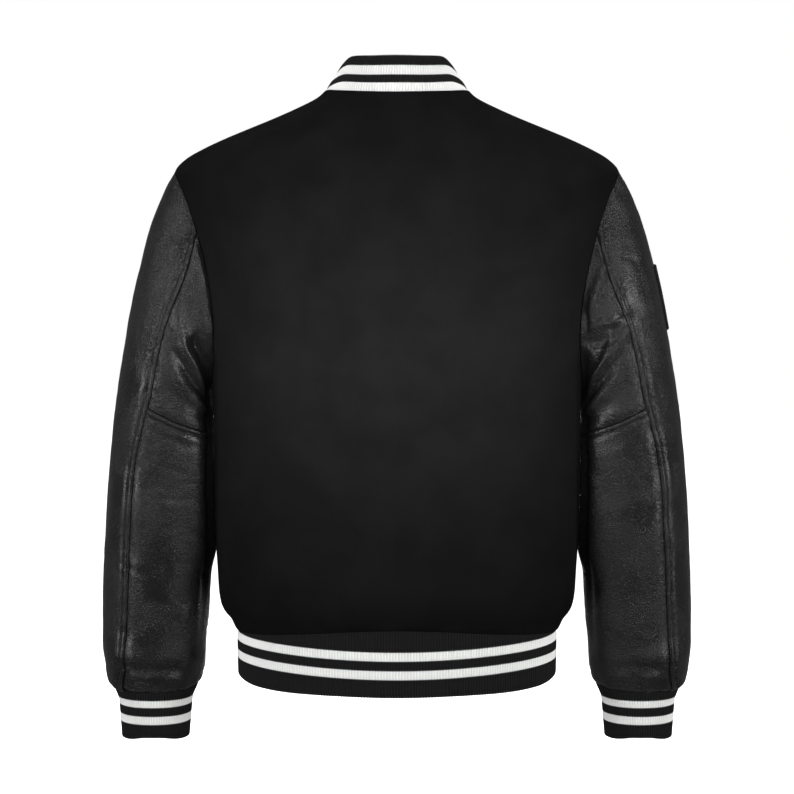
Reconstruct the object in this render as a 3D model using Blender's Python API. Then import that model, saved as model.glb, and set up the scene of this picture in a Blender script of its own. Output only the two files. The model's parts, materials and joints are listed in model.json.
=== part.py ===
"""Varsity jacket, filled out as if worn: wool body, leather sleeves, and ribbed knit collar, cuffs and hem.

+Z is up, the front faces -Y, the wearer's left is +X, and the origin is the centre of the neck opening,
level with the seam at the side of the neck. Sizes are in metres.

The body and each sleeve are one smooth form. A form is a table of rings, one row for each ring, and the
pieces of cloth are blocks of a grid of points on it, given a wall and parted by a small gap at each seam.
"""

import math

import bpy
import numpy as np

# Cloth and seams
WOOL_WALL = 0.0022
LEATHER_WALL = 0.0018
RIB_WALL = 0.0028
RIB_VALLEY = 0.0006
RIB_PITCH = 0.0031
SEAM_GAP = 0.0003
WEARER_LEFT = 1
WEARER_RIGHT = -1

# Grids: how many faces lie along and round each form
BODY_ROWS = 11
ARMHOLE_ROWS = 12
SHOULDER_ROWS = 7
BACK_COLUMNS = 20
FRONT_COLUMNS = 10
UPPER_SLEEVE_ROWS = 9
LOWER_SLEEVE_ROWS = 10

# Body rings, from the hem seam to the neck seam. The depths run from the side seam line to the centre back
# and front. The drops are how much lower the ring is there than at its sides.
RING_COLUMNS = ("height", "half_width", "back", "front", "back_drop", "front_drop", "square", "point")
BODY_RINGS = (
    # height, half_width, back, front, back_drop, front_drop, square, point
    (-0.5880, 0.1768, 0.1180, 0.1170, -0.0130, -0.0080, 2.05, 0.0000),  # hem seam
    (-0.5810, 0.1820, 0.1230, 0.1225, -0.0110, -0.0070, 2.05, 0.0000),
    (-0.5700, 0.1912, 0.1275, 0.1275, -0.0080, -0.0050, 2.10, 0.0000),
    (-0.5570, 0.1962, 0.1300, 0.1300, -0.0040, -0.0020, 2.15, 0.0000),
    (-0.5350, 0.1990, 0.1310, 0.1315, 0.0000, 0.0000, 2.20, 0.0000),
    (-0.4930, 0.2000, 0.1300, 0.1330, 0.0000, 0.0000, 2.25, 0.0000),
    (-0.4300, 0.2010, 0.1285, 0.1345, 0.0000, 0.0010, 2.30, 0.0000),
    (-0.3750, 0.2015, 0.1285, 0.1355, 0.0020, 0.0060, 2.35, 0.0000),
    (-0.3280, 0.2020, 0.1295, 0.1360, 0.0050, 0.0140, 2.40, 0.0000),  # underarm
    (-0.2840, 0.2075, 0.1305, 0.1360, 0.0090, 0.0250, 2.45, 0.0000),
    (-0.2290, 0.2160, 0.1300, 0.1360, 0.0150, 0.0430, 2.45, 0.0000),
    (-0.1740, 0.2245, 0.1280, 0.1350, 0.0230, 0.0600, 2.45, 0.0000),
    (-0.1300, 0.2305, 0.1250, 0.1320, 0.0310, 0.0730, 2.40, 0.0020),
    (-0.1025, 0.2320, 0.1215, 0.1290, 0.0365, 0.0775, 2.35, 0.0080),
    (-0.0880, 0.2290, 0.1190, 0.1260, 0.0380, 0.0800, 2.30, 0.0130),  # shoulder point
    (-0.0750, 0.2190, 0.1155, 0.1220, 0.0370, 0.0800, 2.25, 0.0110),
    (-0.0640, 0.2040, 0.1120, 0.1180, 0.0350, 0.0800, 2.20, 0.0070),
    (-0.0530, 0.1835, 0.1075, 0.1130, 0.0320, 0.0790, 2.20, 0.0040),
    (-0.0420, 0.1590, 0.1020, 0.1060, 0.0270, 0.0780, 2.15, 0.0020),
    (-0.0310, 0.1330, 0.0965, 0.0970, 0.0220, 0.0770, 2.15, 0.0010),
    (-0.0200, 0.1090, 0.0900, 0.0860, 0.0170, 0.0750, 2.10, 0.0000),
    (-0.0095, 0.0880, 0.0820, 0.0780, 0.0110, 0.0730, 2.10, 0.0000),
    (-0.0010, 0.0780, 0.0750, 0.0730, 0.0065, 0.0690, 2.10, 0.0000),  # neck seam
)
UNDERARM_LEVEL = 8
SHOULDER_LEVEL = 14
NECK_LEVEL = len(BODY_RINGS) - 1
COLLAR_TOP_RING = (0.0280, 0.0605, 0.0645, 0.0665, -0.0010, 0.0620, 2.10, 0.0)
HEM_BOTTOM_RING = (-0.6420, 0.1762, 0.1185, 0.1165, 0.0, 0.0, 2.05, 0.0)
DROP_POWER = 1.4
POINT_SPREAD = math.radians(17.0)

# The armhole is an oval round the side of the body. The angles say how far its edge reaches towards the
# back and front, and its skew moves the widest part downwards.
ARMHOLE_BACK = math.radians(22.0)
ARMHOLE_FRONT = math.radians(27.0)
ARMHOLE_SKEW = 0.20

# Sleeve rings from the armhole to the cuff seam: the outer and inner point in the X-Z plane, half the depth
# along Y, the middle in Y, the squareness, and the angle of the back and front seams round the ring, from
# 0 on the outside through 90 at the back.
SLEEVE_COLUMNS = ("outer_x", "outer_z", "inner_x", "inner_z", "depth", "middle", "square", "back_seam", "front_seam")
SLEEVE_RINGS = (
    # outer_x, outer_z, inner_x, inner_z, depth, middle, square, back_seam, front_seam
    (0.2420, -0.0880, 0.2024, -0.3280, 0.0790, 0.0000, 2.2, 61, 225),  # armhole
    (0.2555, -0.1130, 0.2042, -0.3305, 0.0800, 0.0000, 2.2, 70, 225),
    (0.2680, -0.1450, 0.2046, -0.3345, 0.0800, 0.0005, 2.2, 75, 225),
    (0.2775, -0.1790, 0.2048, -0.3395, 0.0795, 0.0010, 2.2, 75, 226),
    (0.2865, -0.2170, 0.2048, -0.3460, 0.0790, 0.0015, 2.2, 75, 227),
    (0.2945, -0.2590, 0.2048, -0.3550, 0.0780, 0.0020, 2.2, 75, 228),
    (0.3018, -0.3020, 0.2047, -0.3670, 0.0765, 0.0025, 2.2, 75, 230),
    (0.3085, -0.3450, 0.2045, -0.3840, 0.0745, 0.0025, 2.2, 70, 230),
    (0.3138, -0.3880, 0.2042, -0.4080, 0.0725, 0.0015, 2.2, 62, 230),
    (0.3180, -0.4310, 0.2040, -0.4400, 0.0700, 0.0000, 2.2, 60, 230),
    (0.3212, -0.4740, 0.2038, -0.4780, 0.0675, -0.0025, 2.2, 58, 230),
    (0.3238, -0.5170, 0.2040, -0.5190, 0.0645, -0.0055, 2.2, 57, 230),
    (0.3262, -0.5600, 0.2066, -0.5610, 0.0620, -0.0090, 2.2, 57, 230),
    (0.3268, -0.6000, 0.2120, -0.6005, 0.0590, -0.0125, 2.2, 56, 230),
    (0.3256, -0.6280, 0.2140, -0.6280, 0.0560, -0.0150, 2.2, 53, 230),
    (0.3240, -0.6450, 0.2168, -0.6450, 0.0520, -0.0165, 2.2, 49, 230),
    (0.3200, -0.6550, 0.2210, -0.6550, 0.0460, -0.0170, 2.2, 43, 230),
    (0.3118, -0.6600, 0.2272, -0.6600, 0.0385, -0.0170, 2.1, 41, 230),  # cuff seam
)
ELBOW_LEVEL = 6.5
CUFF_LEVEL = len(SLEEVE_RINGS) - 1
ARMHOLE_BLEND_LEVEL = 6.0
SLEEVE_CLEARANCE = 0.0003
CUFF_BOTTOM = dict(outer_x=0.3082, inner_x=0.2325, height=-0.7130, depth=0.0330, middle=-0.0180, square=2.0)

# Soft folds, each a long low hump, or a trough where its rise is below zero.
BODY_FOLD_COLUMNS = ("angle", "height", "lean", "half_length", "half_width", "rise")
BODY_FOLDS = (
    # angle from +X in degrees, height, lean in degrees for each metre up, half_length, half_width in degrees, rise
    (52, -0.560, 40, 0.060, 5.0, -0.0035),
    (70, -0.568, -60, 0.050, 4.0, 0.0022),
    (88, -0.552, 20, 0.075, 4.5, -0.0038),
    (97, -0.566, -30, 0.045, 3.5, 0.0024),
    (114, -0.556, -50, 0.065, 5.0, -0.0034),
    (134, -0.566, 60, 0.050, 5.0, 0.0022),
    (222, -0.560, 40, 0.060, 5.0, -0.0030),
    (240, -0.566, -40, 0.050, 4.5, 0.0022),
    (298, -0.556, 30, 0.065, 5.0, -0.0030),
    (318, -0.564, -50, 0.050, 4.5, 0.0022),
)
SLEEVE_FOLD_COLUMNS = ("level", "angle", "slope", "half_length", "half_width", "rise")
SLEEVE_FOLDS = (
    # level, angle in degrees, slope in levels for each radian, half_length in degrees, half_width in levels, rise
    (2.6, 112, 0.9, 34, 0.55, 0.0050),
    (3.7, 128, 1.0, 34, 0.45, -0.0045),
    (4.6, 120, 0.7, 42, 0.50, 0.0045),
    (5.6, 140, 0.5, 34, 0.45, -0.0035),
    (7.6, 118, -0.3, 38, 0.45, 0.0030),
    (8.8, 104, 0.2, 40, 0.40, -0.0025),
    (5.4, 235, -0.6, 36, 0.50, -0.0045),
    (6.6, 250, -0.4, 40, 0.50, 0.0050),
    (7.7, 244, -0.2, 38, 0.45, -0.0040),
    (3.4, 262, -0.9, 30, 0.50, 0.0040),
    (13.6, 75, 0.1, 45, 0.50, 0.0035),
    (14.4, 250, -0.1, 50, 0.50, 0.0035),
)

# Front closing
LAP = 0.012
LAP_COVERED = 0.014
LAP_SLOPE_END = 0.028
LAP_DEPTH = 0.0040
SNAP_RADIUS = 0.0075
SNAP_RISE = 0.0031
SNAP_SIDES = 12
SNAP_COUNT = 7
SNAP_TOP = -0.100
SNAP_BOTTOM = -0.611
SNAP_FACE_PARTS = 8
COLLAR_CORNER = 0.018
COLLAR_HALF_GAP = 0.0012

# Patch on the outside of the wearer's right upper sleeve, upright: its middle, its size and its wall
PATCH_HEIGHT = -0.226
PATCH_Y = -0.006
PATCH_TALL = 0.072
PATCH_WIDE = 0.064
PATCH_WALL = 0.0020
PATCH_FACES = 8
PATCH_CORNER = 0.10

# Finishes: colour, roughness
BLACK_WOOL = ("black wool melton", (0.013, 0.013, 0.013), 0.95)
BLACK_LEATHER = ("black grained leather", (0.020, 0.020, 0.020), 0.42)
RIB_KNIT = ("black rib knit with white stripes", (0.014, 0.014, 0.014), 0.90)
SNAP_METAL = ("black lacquered snap", (0.020, 0.020, 0.022), 0.35)
PATCH_FELT = ("black felt patch", (0.011, 0.011, 0.011), 0.90)


def clear_scene():
    """Remove every object that the scene holds."""
    for thing in list(bpy.data.objects):
        bpy.data.objects.remove(thing, do_unlink=True)


def finish(name, colour, roughness):
    """One Principled material, made once and shared by name."""
    material = bpy.data.materials.get(name) or bpy.data.materials.new(name)
    material.use_nodes = True
    shader = material.node_tree.nodes["Principled BSDF"]
    shader.inputs["Base Color"].default_value = (*colour, 1.0)
    shader.inputs["Roughness"].default_value = roughness
    return material


def add_solid(name, points, faces, look):
    """Make one closed body from points and faces, turned so that its faces point outwards."""
    points = np.asarray(points, dtype=float)
    volume = sum(
        float(np.dot(points[face[0]], np.cross(points[face[k]], points[face[k + 1]])))
        for face in faces
        for k in range(1, len(face) - 1)
    )
    if volume < 0:
        faces = [tuple(reversed(face)) for face in faces]
    mesh = bpy.data.meshes.new(name)
    mesh.from_pydata(points.tolist(), [], [tuple(int(k) for k in face) for face in faces])
    mesh.shade_smooth()
    mesh.set_sharp_from_angle(angle=math.radians(40))
    mesh.materials.append(finish(*look))
    thing = bpy.data.objects.new(name, mesh)
    bpy.context.collection.objects.link(thing)
    return thing


def unit(vectors):
    """Vectors brought to length one."""
    return vectors / np.maximum(np.linalg.norm(vectors, axis=-1, keepdims=True), 1e-12)


def ease(value):
    """A smooth step from 0 to 1."""
    value = np.clip(value, 0.0, 1.0)
    return value * value * (3.0 - 2.0 * value)


def columns(names, rows):
    """A table's columns by name."""
    return dict(zip(names, np.array(rows, dtype=float).T, strict=True))


def smooth(column, level):
    """A Catmull-Rom curve through a table's column, read at fractional rows."""
    ends = ([2 * column[0] - column[1]], column, [2 * column[-1] - column[-2]])
    padded = np.concatenate(ends)
    row = np.clip(np.floor(level), 0, len(column) - 2).astype(int)
    t = level - row
    before, start, stop, after = (padded[row + k] for k in range(4))
    square = (2 * before - 5 * start + 4 * stop - after) * t**2
    cube = (3 * start - before - 3 * stop + after) * t**3
    return 0.5 * (2 * start + (stop - before) * t + square + cube)


def normals(surface, level, angle):
    """Unit normals of a form, from its slopes along and round, pointing away from its inside."""
    step = 1e-3
    along = surface(level + step, angle) - surface(level - step, angle)
    around = surface(level, angle + step) - surface(level, angle - step)
    return unit(np.cross(around, along))


# ---------------------------------------------------------------------------------------------- body form


def ring_points(ring, angle):
    """Points of a rounded ring at each angle from +X: a superellipse in polar form, lowered at back and front,
    and drawn out to a soft point at each side."""
    behind = np.sin(angle) >= 0
    depth = np.where(behind, ring["back"], ring["front"])
    drop = np.where(behind, ring["back_drop"], ring["front_drop"])
    power = ring["square"]
    across = np.abs(np.cos(angle) / ring["half_width"]) ** power
    through = np.abs(np.sin(angle) / depth) ** power
    side_point = ring["point"] * np.exp(-((np.sin(angle) / math.sin(POINT_SPREAD)) ** 2))
    radius = (across + through) ** (-1.0 / power) + side_point
    height = ring["height"] - drop * np.abs(np.sin(angle)) ** DROP_POWER
    return np.stack(np.broadcast_arrays(radius * np.cos(angle), radius * np.sin(angle), height), axis=-1)


BODY = columns(RING_COLUMNS, BODY_RINGS)
COLLAR_TOP = dict(zip(RING_COLUMNS, COLLAR_TOP_RING))
HEM_BOTTOM = dict(zip(RING_COLUMNS, HEM_BOTTOM_RING))


def body(level, angle):
    """The body form, without its folds."""
    level, angle = np.broadcast_arrays(np.asarray(level, float), np.asarray(angle, float))
    ring = {name: smooth(column, level) for name, column in BODY.items()}
    return ring_points(ring, angle)


def body_level(height):
    """The level at which the sides of the body form have a height."""
    return np.interp(height, BODY["height"], np.arange(NECK_LEVEL + 1))


def body_folds(points, level):
    """How far the folds lift the body's surface at each point, none of it at the hem seam."""
    lift = np.zeros(points.shape[:-1])
    angle = np.degrees(np.arctan2(points[..., 1], points[..., 0])) % 360
    height = points[..., 2]
    for row in BODY_FOLDS:
        fold = dict(zip(BODY_FOLD_COLUMNS, row))
        rise = height - fold["height"]
        across = (angle - fold["angle"] - fold["lean"] * rise) / fold["half_width"]
        lift += fold["rise"] * np.exp(-(across**2) - (rise / fold["half_length"]) ** 2)
    return lift * ease(level / 1.5)


def armhole(turn, front=False):
    """Level and angle of the armhole's edge: turn is 0 at the shoulder point and pi at the underarm."""
    top, bottom = BODY["height"][SHOULDER_LEVEL], BODY["height"][UNDERARM_LEVEL]
    height = (top + bottom) / 2 + (top - bottom) / 2 * np.cos(turn)
    reach = ARMHOLE_FRONT if front else ARMHOLE_BACK
    return body_level(height), reach * (np.sin(turn) - ARMHOLE_SKEW * np.sin(2 * turn) / 2)


def body_rows():
    """Levels of the body's rows, with the angle of its back and front edges at each."""
    turns = np.linspace(math.pi, 0, ARMHOLE_ROWS + 1)
    levels, back_edge = armhole(turns)
    front_edge = armhole(turns, front=True)[1]
    below = np.linspace(0, UNDERARM_LEVEL, BODY_ROWS + 1)[:-1]
    above = np.linspace(SHOULDER_LEVEL, NECK_LEVEL, SHOULDER_ROWS + 1)[1:]
    levels = np.concatenate([below, levels, above])
    blank = [np.zeros(len(below)), None, np.zeros(len(above))]
    return levels, np.concatenate([blank[0], back_edge, blank[2]]), np.concatenate([blank[0], front_edge, blank[2]])


def centre_front_angle(levels, offset):
    """A column of angles at which the body form passes a place beside the centre front, offset along X."""
    return (-math.pi / 2 + np.arctan2(offset, smooth(BODY["front"], levels)))[:, None]


# -------------------------------------------------------------------------------------------- sleeve form

SLEEVE = columns(SLEEVE_COLUMNS, SLEEVE_RINGS)


def oval(ring, angle):
    """Points of a sleeve ring: an oval between its outer and inner points, as deep along Y as it says."""
    cosine, sine, power = np.cos(angle), np.sin(angle), ring["square"]
    radius = (np.abs(cosine) ** power + np.abs(sine) ** power) ** (-1.0 / power)
    middle_x, half_x = (ring["outer_x"] + ring["inner_x"]) / 2, (ring["outer_x"] - ring["inner_x"]) / 2
    middle_z, half_z = (ring["outer_z"] + ring["inner_z"]) / 2, (ring["outer_z"] - ring["inner_z"]) / 2
    parts = (
        middle_x + half_x * radius * cosine,
        ring["middle"] + ring["depth"] * radius * sine,
        middle_z + half_z * radius * cosine,
    )
    return np.stack(np.broadcast_arrays(*parts), axis=-1)


def armhole_points(angle):
    """The armhole's edge on the body form, by the sleeve's angle."""
    angle = (np.asarray(angle, float) + math.pi) % (2 * math.pi) - math.pi
    back_level, back_angle = armhole(np.abs(angle))
    front_angle = armhole(np.abs(angle), front=True)[1]
    edge = np.where(angle >= 0, back_angle, -front_angle)
    points = body(back_level, edge)
    away = normals(body, back_level, edge)
    return points + away * (SLEEVE_CLEARANCE * (1 - np.cos(angle)) / 2)[..., None]


def sleeve(level, angle):
    """The wearer's left sleeve form: ovals that set out from the armhole's edge."""
    level, angle = np.broadcast_arrays(np.asarray(level, float), np.asarray(angle, float))
    ring = {name: smooth(column, level) for name, column in SLEEVE.items()}
    first = {name: column[0] for name, column in SLEEVE.items()}
    share = np.clip(1 - level / ARMHOLE_BLEND_LEVEL, 0.0, 1.1) ** 2
    return oval(ring, angle) + share[..., None] * (armhole_points(angle) - oval(first, angle))


def sleeve_normals(level, angle):
    """Unit normals of the sleeve form, whose levels run downwards."""
    return -normals(sleeve, level, angle)


def sleeve_folds(level, angle):
    """How far the folds lift the sleeve's surface."""
    lift = np.zeros(np.broadcast(level, angle).shape)
    degrees = np.degrees(angle) % 360
    for row in SLEEVE_FOLDS:
        fold = dict(zip(SLEEVE_FOLD_COLUMNS, row))
        off = degrees - fold["angle"]
        across = (level - fold["level"] - fold["slope"] * np.radians(off)) / fold["half_width"]
        lift += fold["rise"] * np.exp(-(across**2) - (off / fold["half_length"]) ** 2)
    ends = ease(level / 1.2) * ease((CUFF_LEVEL - level) / 1.5)
    return lift * ends


def sleeve_seams(level):
    """Angles of the front and back seams, the front one below zero."""
    front = np.radians(smooth(SLEEVE["front_seam"], level)) - 2 * math.pi
    return front, np.radians(smooth(SLEEVE["back_seam"], level))


# ------------------------------------------------------------------------------------------------- pieces


def quads(numbers):
    """Faces between the rows and columns of a table of point numbers."""
    corners = (numbers[:-1, :-1], numbers[1:, :-1], numbers[1:, 1:], numbers[:-1, 1:])
    return np.stack(corners, axis=-1).reshape(-1, 4).tolist()


def draw_in(points, distance):
    """Move the border of a grid of points inwards along the surface, at right angles to each edge."""
    moved = points.copy()
    for rows, inner in ((0, 1), (-1, -2)):
        tangent = unit(np.gradient(points[rows], axis=0))
        inwards = points[inner] - points[rows]
        inwards = unit(inwards - np.sum(inwards * tangent, axis=-1, keepdims=True) * tangent)
        moved[rows] += distance * inwards
    for side, inner in ((0, 1), (-1, -2)):
        tangent = unit(np.gradient(points[:, side], axis=0))
        inwards = points[:, inner] - points[:, side]
        inwards = unit(inwards - np.sum(inwards * tangent, axis=-1, keepdims=True) * tangent)
        moved[:, side] += distance * inwards
    return moved


def add_wall(name, outer, inwards, thickness, look, mirrored=False):
    """A panel: a grid of outer points, and the same grid moved inwards by the cloth's thickness."""
    flip = np.array([-1.0 if mirrored else 1.0, 1.0, 1.0])
    points = np.concatenate([(outer * flip).reshape(-1, 3), ((outer + inwards * thickness) * flip).reshape(-1, 3)])
    front = np.arange(outer[..., 0].size).reshape(outer.shape[:2])
    back = front + front.size
    faces = quads(front) + [face[::-1] for face in quads(back)]
    faces += quads(np.stack([back[0], front[0]]))
    faces += quads(np.stack([front[-1], back[-1]]))
    faces += quads(np.stack([back[:, 0], front[:, 0]], axis=1))
    faces += quads(np.stack([front[:, -1], back[:, -1]], axis=1))
    return add_solid(name, points, faces, look)


def level_out(directions):
    """Directions turned level, so that the cloth's cut end lies flat."""
    flat = directions.copy()
    flat[..., 2] = 0.0
    return unit(flat)


def mitred(own, other, heading):
    """Inward directions at a seam: halfway between both walls where they bend away from each other outside,
    and the wall's own where the seam is a valley."""
    ridge = np.sum(own * heading, axis=-1, keepdims=True) < 0
    return np.where(ridge, -unit(own + other), -own)


def lap_depth(points):
    """How far the wearer's right side lies inwards beside the centre front, where the left side laps over it."""
    return LAP_DEPTH * ease((points[..., 0] + LAP_SLOPE_END) / (LAP_SLOPE_END - LAP_COVERED))


def body_panel(name, levels, angles, at_armhole, under=False):
    """A panel of the body, whose outer points it returns.

    The first column runs up the side seam, the armhole and the shoulder seam.
    """
    rows = np.repeat(levels[:, None], angles.shape[1], axis=1)
    points = body(rows, angles)
    out = normals(body, rows, angles)
    outer = points + out * body_folds(points, rows)[..., None]
    inwards = -out
    inwards[0] = level_out(inwards[0])
    if under:
        outer = outer + inwards * lap_depth(points)[..., None]
    for column in at_armhole:
        sleeve_angle = armhole_sleeve_angle(angles[:, column])
        held = slice(BODY_ROWS, BODY_ROWS + ARMHOLE_ROWS + 1)
        turned = sleeve_angle[held]
        flip = np.array([1.0 if np.cos(angles[BODY_ROWS, column]) > 0 else -1.0, 1.0, 1.0])
        other = sleeve_normals(np.zeros_like(turned), turned) * flip
        heading = unit(sleeve(np.full_like(turned, 0.25), turned) - sleeve(np.zeros_like(turned), turned)) * flip
        inwards[held, column] = mitred(out[held, column], other, heading)
    outer = draw_in(outer, SEAM_GAP / 2)
    add_wall(name, outer, inwards, WOOL_WALL, BLACK_WOOL)
    return outer


def armhole_sleeve_angle(angles):
    """The sleeve's angles for the body's rows beside the armhole, at the back or at the front."""
    turns = np.linspace(math.pi, 0, ARMHOLE_ROWS + 1)
    back = np.sin(np.mean(angles)) >= 0
    result = np.zeros(len(angles))
    result[BODY_ROWS : BODY_ROWS + ARMHOLE_ROWS + 1] = turns if back else -turns
    return result


def back_angles(edge):
    """Angles of the back's columns, from the wearer's left to right."""
    share = np.linspace(0, 1, BACK_COLUMNS + 1)[None, :]
    return edge[:, None] + (math.pi - 2 * edge[:, None]) * share


def left_front_angles(levels, edge):
    """Angles of the left front's columns, from the side to the centre front and on to the edge of its lap."""
    share = np.linspace(0, 1, FRONT_COLUMNS)[None, :]
    near = -edge[:, None] + (edge[:, None] - math.pi / 2) * share
    return np.concatenate([near, centre_front_angle(levels, -LAP)], axis=1)


def right_front_angles(levels, edge):
    """Angles of the right front's columns, from the side to where it goes under, and on to its edge."""
    share = np.linspace(0, 1, FRONT_COLUMNS - 1)[None, :]
    near = edge[:, None] - math.pi
    near = near + (centre_front_angle(levels, -LAP_SLOPE_END) - near) * share
    under = [centre_front_angle(levels, offset) for offset in (-LAP_COVERED, LAP)]
    return np.concatenate([near, *under], axis=1)


def add_sleeve(side, name):
    """A sleeve's three pieces: the top sleeve, and the under sleeve cut at the elbow."""
    upper = np.linspace(0, ELBOW_LEVEL, UPPER_SLEEVE_ROWS + 1)
    lower = np.linspace(ELBOW_LEVEL, CUFF_LEVEL, LOWER_SLEEVE_ROWS + 1)[1:]
    levels = np.concatenate([upper, lower])
    front, back = sleeve_seams(levels)
    step = math.pi / ARMHOLE_ROWS
    top_columns = round((back[0] - front[0]) / step)
    under_columns = 2 * ARMHOLE_ROWS - top_columns
    blocks = (
        ("top", slice(None), front, back, top_columns),
        ("under_upper", slice(0, UPPER_SLEEVE_ROWS + 1), back, front + 2 * math.pi, under_columns),
        ("under_lower", slice(UPPER_SLEEVE_ROWS, None), back, front + 2 * math.pi, under_columns),
    )
    for part, rows, start, stop, count in blocks:
        share = np.linspace(0, 1, count + 1)[None, :]
        angles = start[rows, None] + (stop - start)[rows, None] * share
        at = np.repeat(levels[rows, None], count + 1, axis=1)
        out = sleeve_normals(at, angles)
        inwards = -out
        if rows.start in (None, 0):
            inwards[0] = sleeve_head_inwards(angles[0], out[0])
        if rows.stop is None:
            inwards[-1] = level_out(inwards[-1])
        outer = draw_in(sleeve(at, angles) + out * sleeve_folds(at, angles)[..., None], SEAM_GAP / 2)
        add_wall(f"{name}_{part}", outer, inwards, LEATHER_WALL, BLACK_LEATHER, mirrored=side == WEARER_RIGHT)


def sleeve_head_inwards(angles, out):
    """Inward directions of the sleeve's edge at the armhole, mitred with the body's wall."""
    turned = (angles + math.pi) % (2 * math.pi) - math.pi
    level, back_angle = armhole(np.abs(turned))
    edge = np.where(turned >= 0, back_angle, -armhole(np.abs(turned), front=True)[1])
    body_out = normals(body, level, edge)
    heading = unit(sleeve(np.full_like(angles, 0.25), angles) - sleeve(np.zeros_like(angles), angles))
    ridge = np.sum(body_out * heading, axis=-1, keepdims=True) < 0
    return np.where(ridge, -unit(out + body_out), -out)


def rib_columns(points):
    """How many columns of rib crests and valleys go between neighbouring points, two for each whole rib."""
    lengths = np.linalg.norm(np.diff(points, axis=0), axis=1)
    return 2 * np.maximum(1, np.round(lengths / RIB_PITCH)).astype(int)


def split(values, counts):
    """A line of numbers or points with each of its steps split evenly into so many."""
    at = np.concatenate([k + np.arange(count) / count for k, count in enumerate(counts)] + [[len(counts)]])
    steps = np.arange(len(values))
    if values.ndim == 1:
        return np.interp(at, steps, values)
    return np.stack([np.interp(at, steps, values[:, k]) for k in range(values.shape[1])], axis=1)


def add_ribbed(name, rows, fine_rows, inwards, counts, closed=False, mirrored=False):
    """A ribbed band between two edges: outer crests and valleys over a plain inside.

    rows and fine_rows are its edges, read at the plain inside's points and at the ribs' columns.
    """
    valley = np.where(np.arange(fine_rows.shape[1]) % 2 == 1, RIB_VALLEY, 0.0)
    outer = fine_rows + split(inwards, counts) * valley[:, None]
    inner = rows + inwards * RIB_WALL
    if closed:
        outer, inner = outer[:, :-1], inner[:, :-1]
    flip = np.array([-1.0 if mirrored else 1.0, 1.0, 1.0])
    points = np.concatenate([outer.reshape(-1, 3), inner.reshape(-1, 3)]) * flip
    front = np.arange(outer[..., 0].size).reshape(outer.shape[:2])
    back = np.arange(inner[..., 0].size).reshape(inner.shape[:2]) + front.size
    if closed:
        front = np.concatenate([front, front[:, :1]], axis=1)
        back = np.concatenate([back, back[:, :1]], axis=1)
    faces = quads(front) + [face[::-1] for face in quads(back)]
    starts = np.concatenate([[0], np.cumsum(counts)])
    for k, (start, stop) in enumerate(zip(starts[:-1], starts[1:])):
        faces.append([*front[0, start : stop + 1], back[0, k + 1], back[0, k]])
        faces.append([back[-1, k], back[-1, k + 1], *front[-1, start : stop + 1][::-1]])
    if not closed:
        faces += quads(np.stack([back[:, 0], front[:, 0]], axis=1))
        faces += quads(np.stack([front[:, -1], back[:, -1]], axis=1))
    return add_solid(name, points, faces, RIB_KNIT)


def add_hem(angles):
    """The hem's rib, one band whose ends lap at the centre front as the fronts do."""
    seam = body(np.zeros_like(angles), angles)
    inwards = level_out(-normals(body, np.zeros_like(angles), angles))
    counts = rib_columns(seam)
    fine = split(angles, counts)
    bottom = ring_points(HEM_BOTTOM, fine)
    set_back = np.where(angles > math.pi, lap_depth(seam), 0.0)
    top = seam + inwards * set_back[:, None] - [0.0, 0.0, SEAM_GAP / 2]
    bottom += split(inwards, counts) * np.where(fine > math.pi, lap_depth(bottom), 0.0)[:, None]
    starts = np.concatenate([[0], np.cumsum(counts)])
    add_ribbed("hem_rib", np.stack([top, bottom[starts]]), np.stack([split(top, counts), bottom]), inwards, counts)


def add_collar(angles):
    """The collar's rib, standing on the neck seam, with rounded front corners that meet at the centre."""
    seam = body(np.full_like(angles, NECK_LEVEL), angles)
    rise = unit(ring_points(COLLAR_TOP, angles) - seam)
    inwards = unit(np.cross(rise, np.gradient(seam, axis=0)))
    counts = rib_columns(seam)
    foot = split(seam + rise * SEAM_GAP / 2, counts)
    top = ring_points(COLLAR_TOP, split(angles, counts))
    tall = np.linalg.norm(top - foot, axis=1)
    walked = np.concatenate([[0.0], np.cumsum(np.linalg.norm(np.diff(top, axis=0), axis=1))])
    to_end = np.minimum(walked, walked[-1] - walked)
    lost = COLLAR_CORNER * (1 - np.sqrt(1 - np.clip(1 - to_end / COLLAR_CORNER, 0, 1) ** 2))
    top = top + (foot - top) * (lost / tall)[:, None]
    fine_rows = np.stack([top, foot])
    starts = np.concatenate([[0], np.cumsum(counts)])
    add_ribbed("collar", fine_rows[:, starts], fine_rows, inwards, counts)


def add_cuff(side, name):
    """A cuff's rib, a tube that narrows a little to the wrist."""
    top = {key: column[-1] for key, column in SLEEVE.items()}
    bottom = dict(top, outer_z=CUFF_BOTTOM["height"], inner_z=CUFF_BOTTOM["height"])
    bottom.update({key: CUFF_BOTTOM[key] for key in ("outer_x", "inner_x", "depth", "middle", "square")})
    angles = np.linspace(0, 2 * math.pi, 2 * ARMHOLE_ROWS + 1)
    counts = rib_columns(oval(top, angles))
    fine = split(angles, counts)
    edges = np.stack([oval(top, fine) - [0.0, 0.0, SEAM_GAP / 2], oval(bottom, fine)])
    starts = np.concatenate([[0], np.cumsum(counts)])
    inwards = level_out(-sleeve_normals(np.full_like(angles, CUFF_LEVEL), angles))
    mirrored = side == WEARER_RIGHT
    add_ribbed(name, edges[:, starts], edges, inwards, counts, closed=True, mirrored=mirrored)


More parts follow.
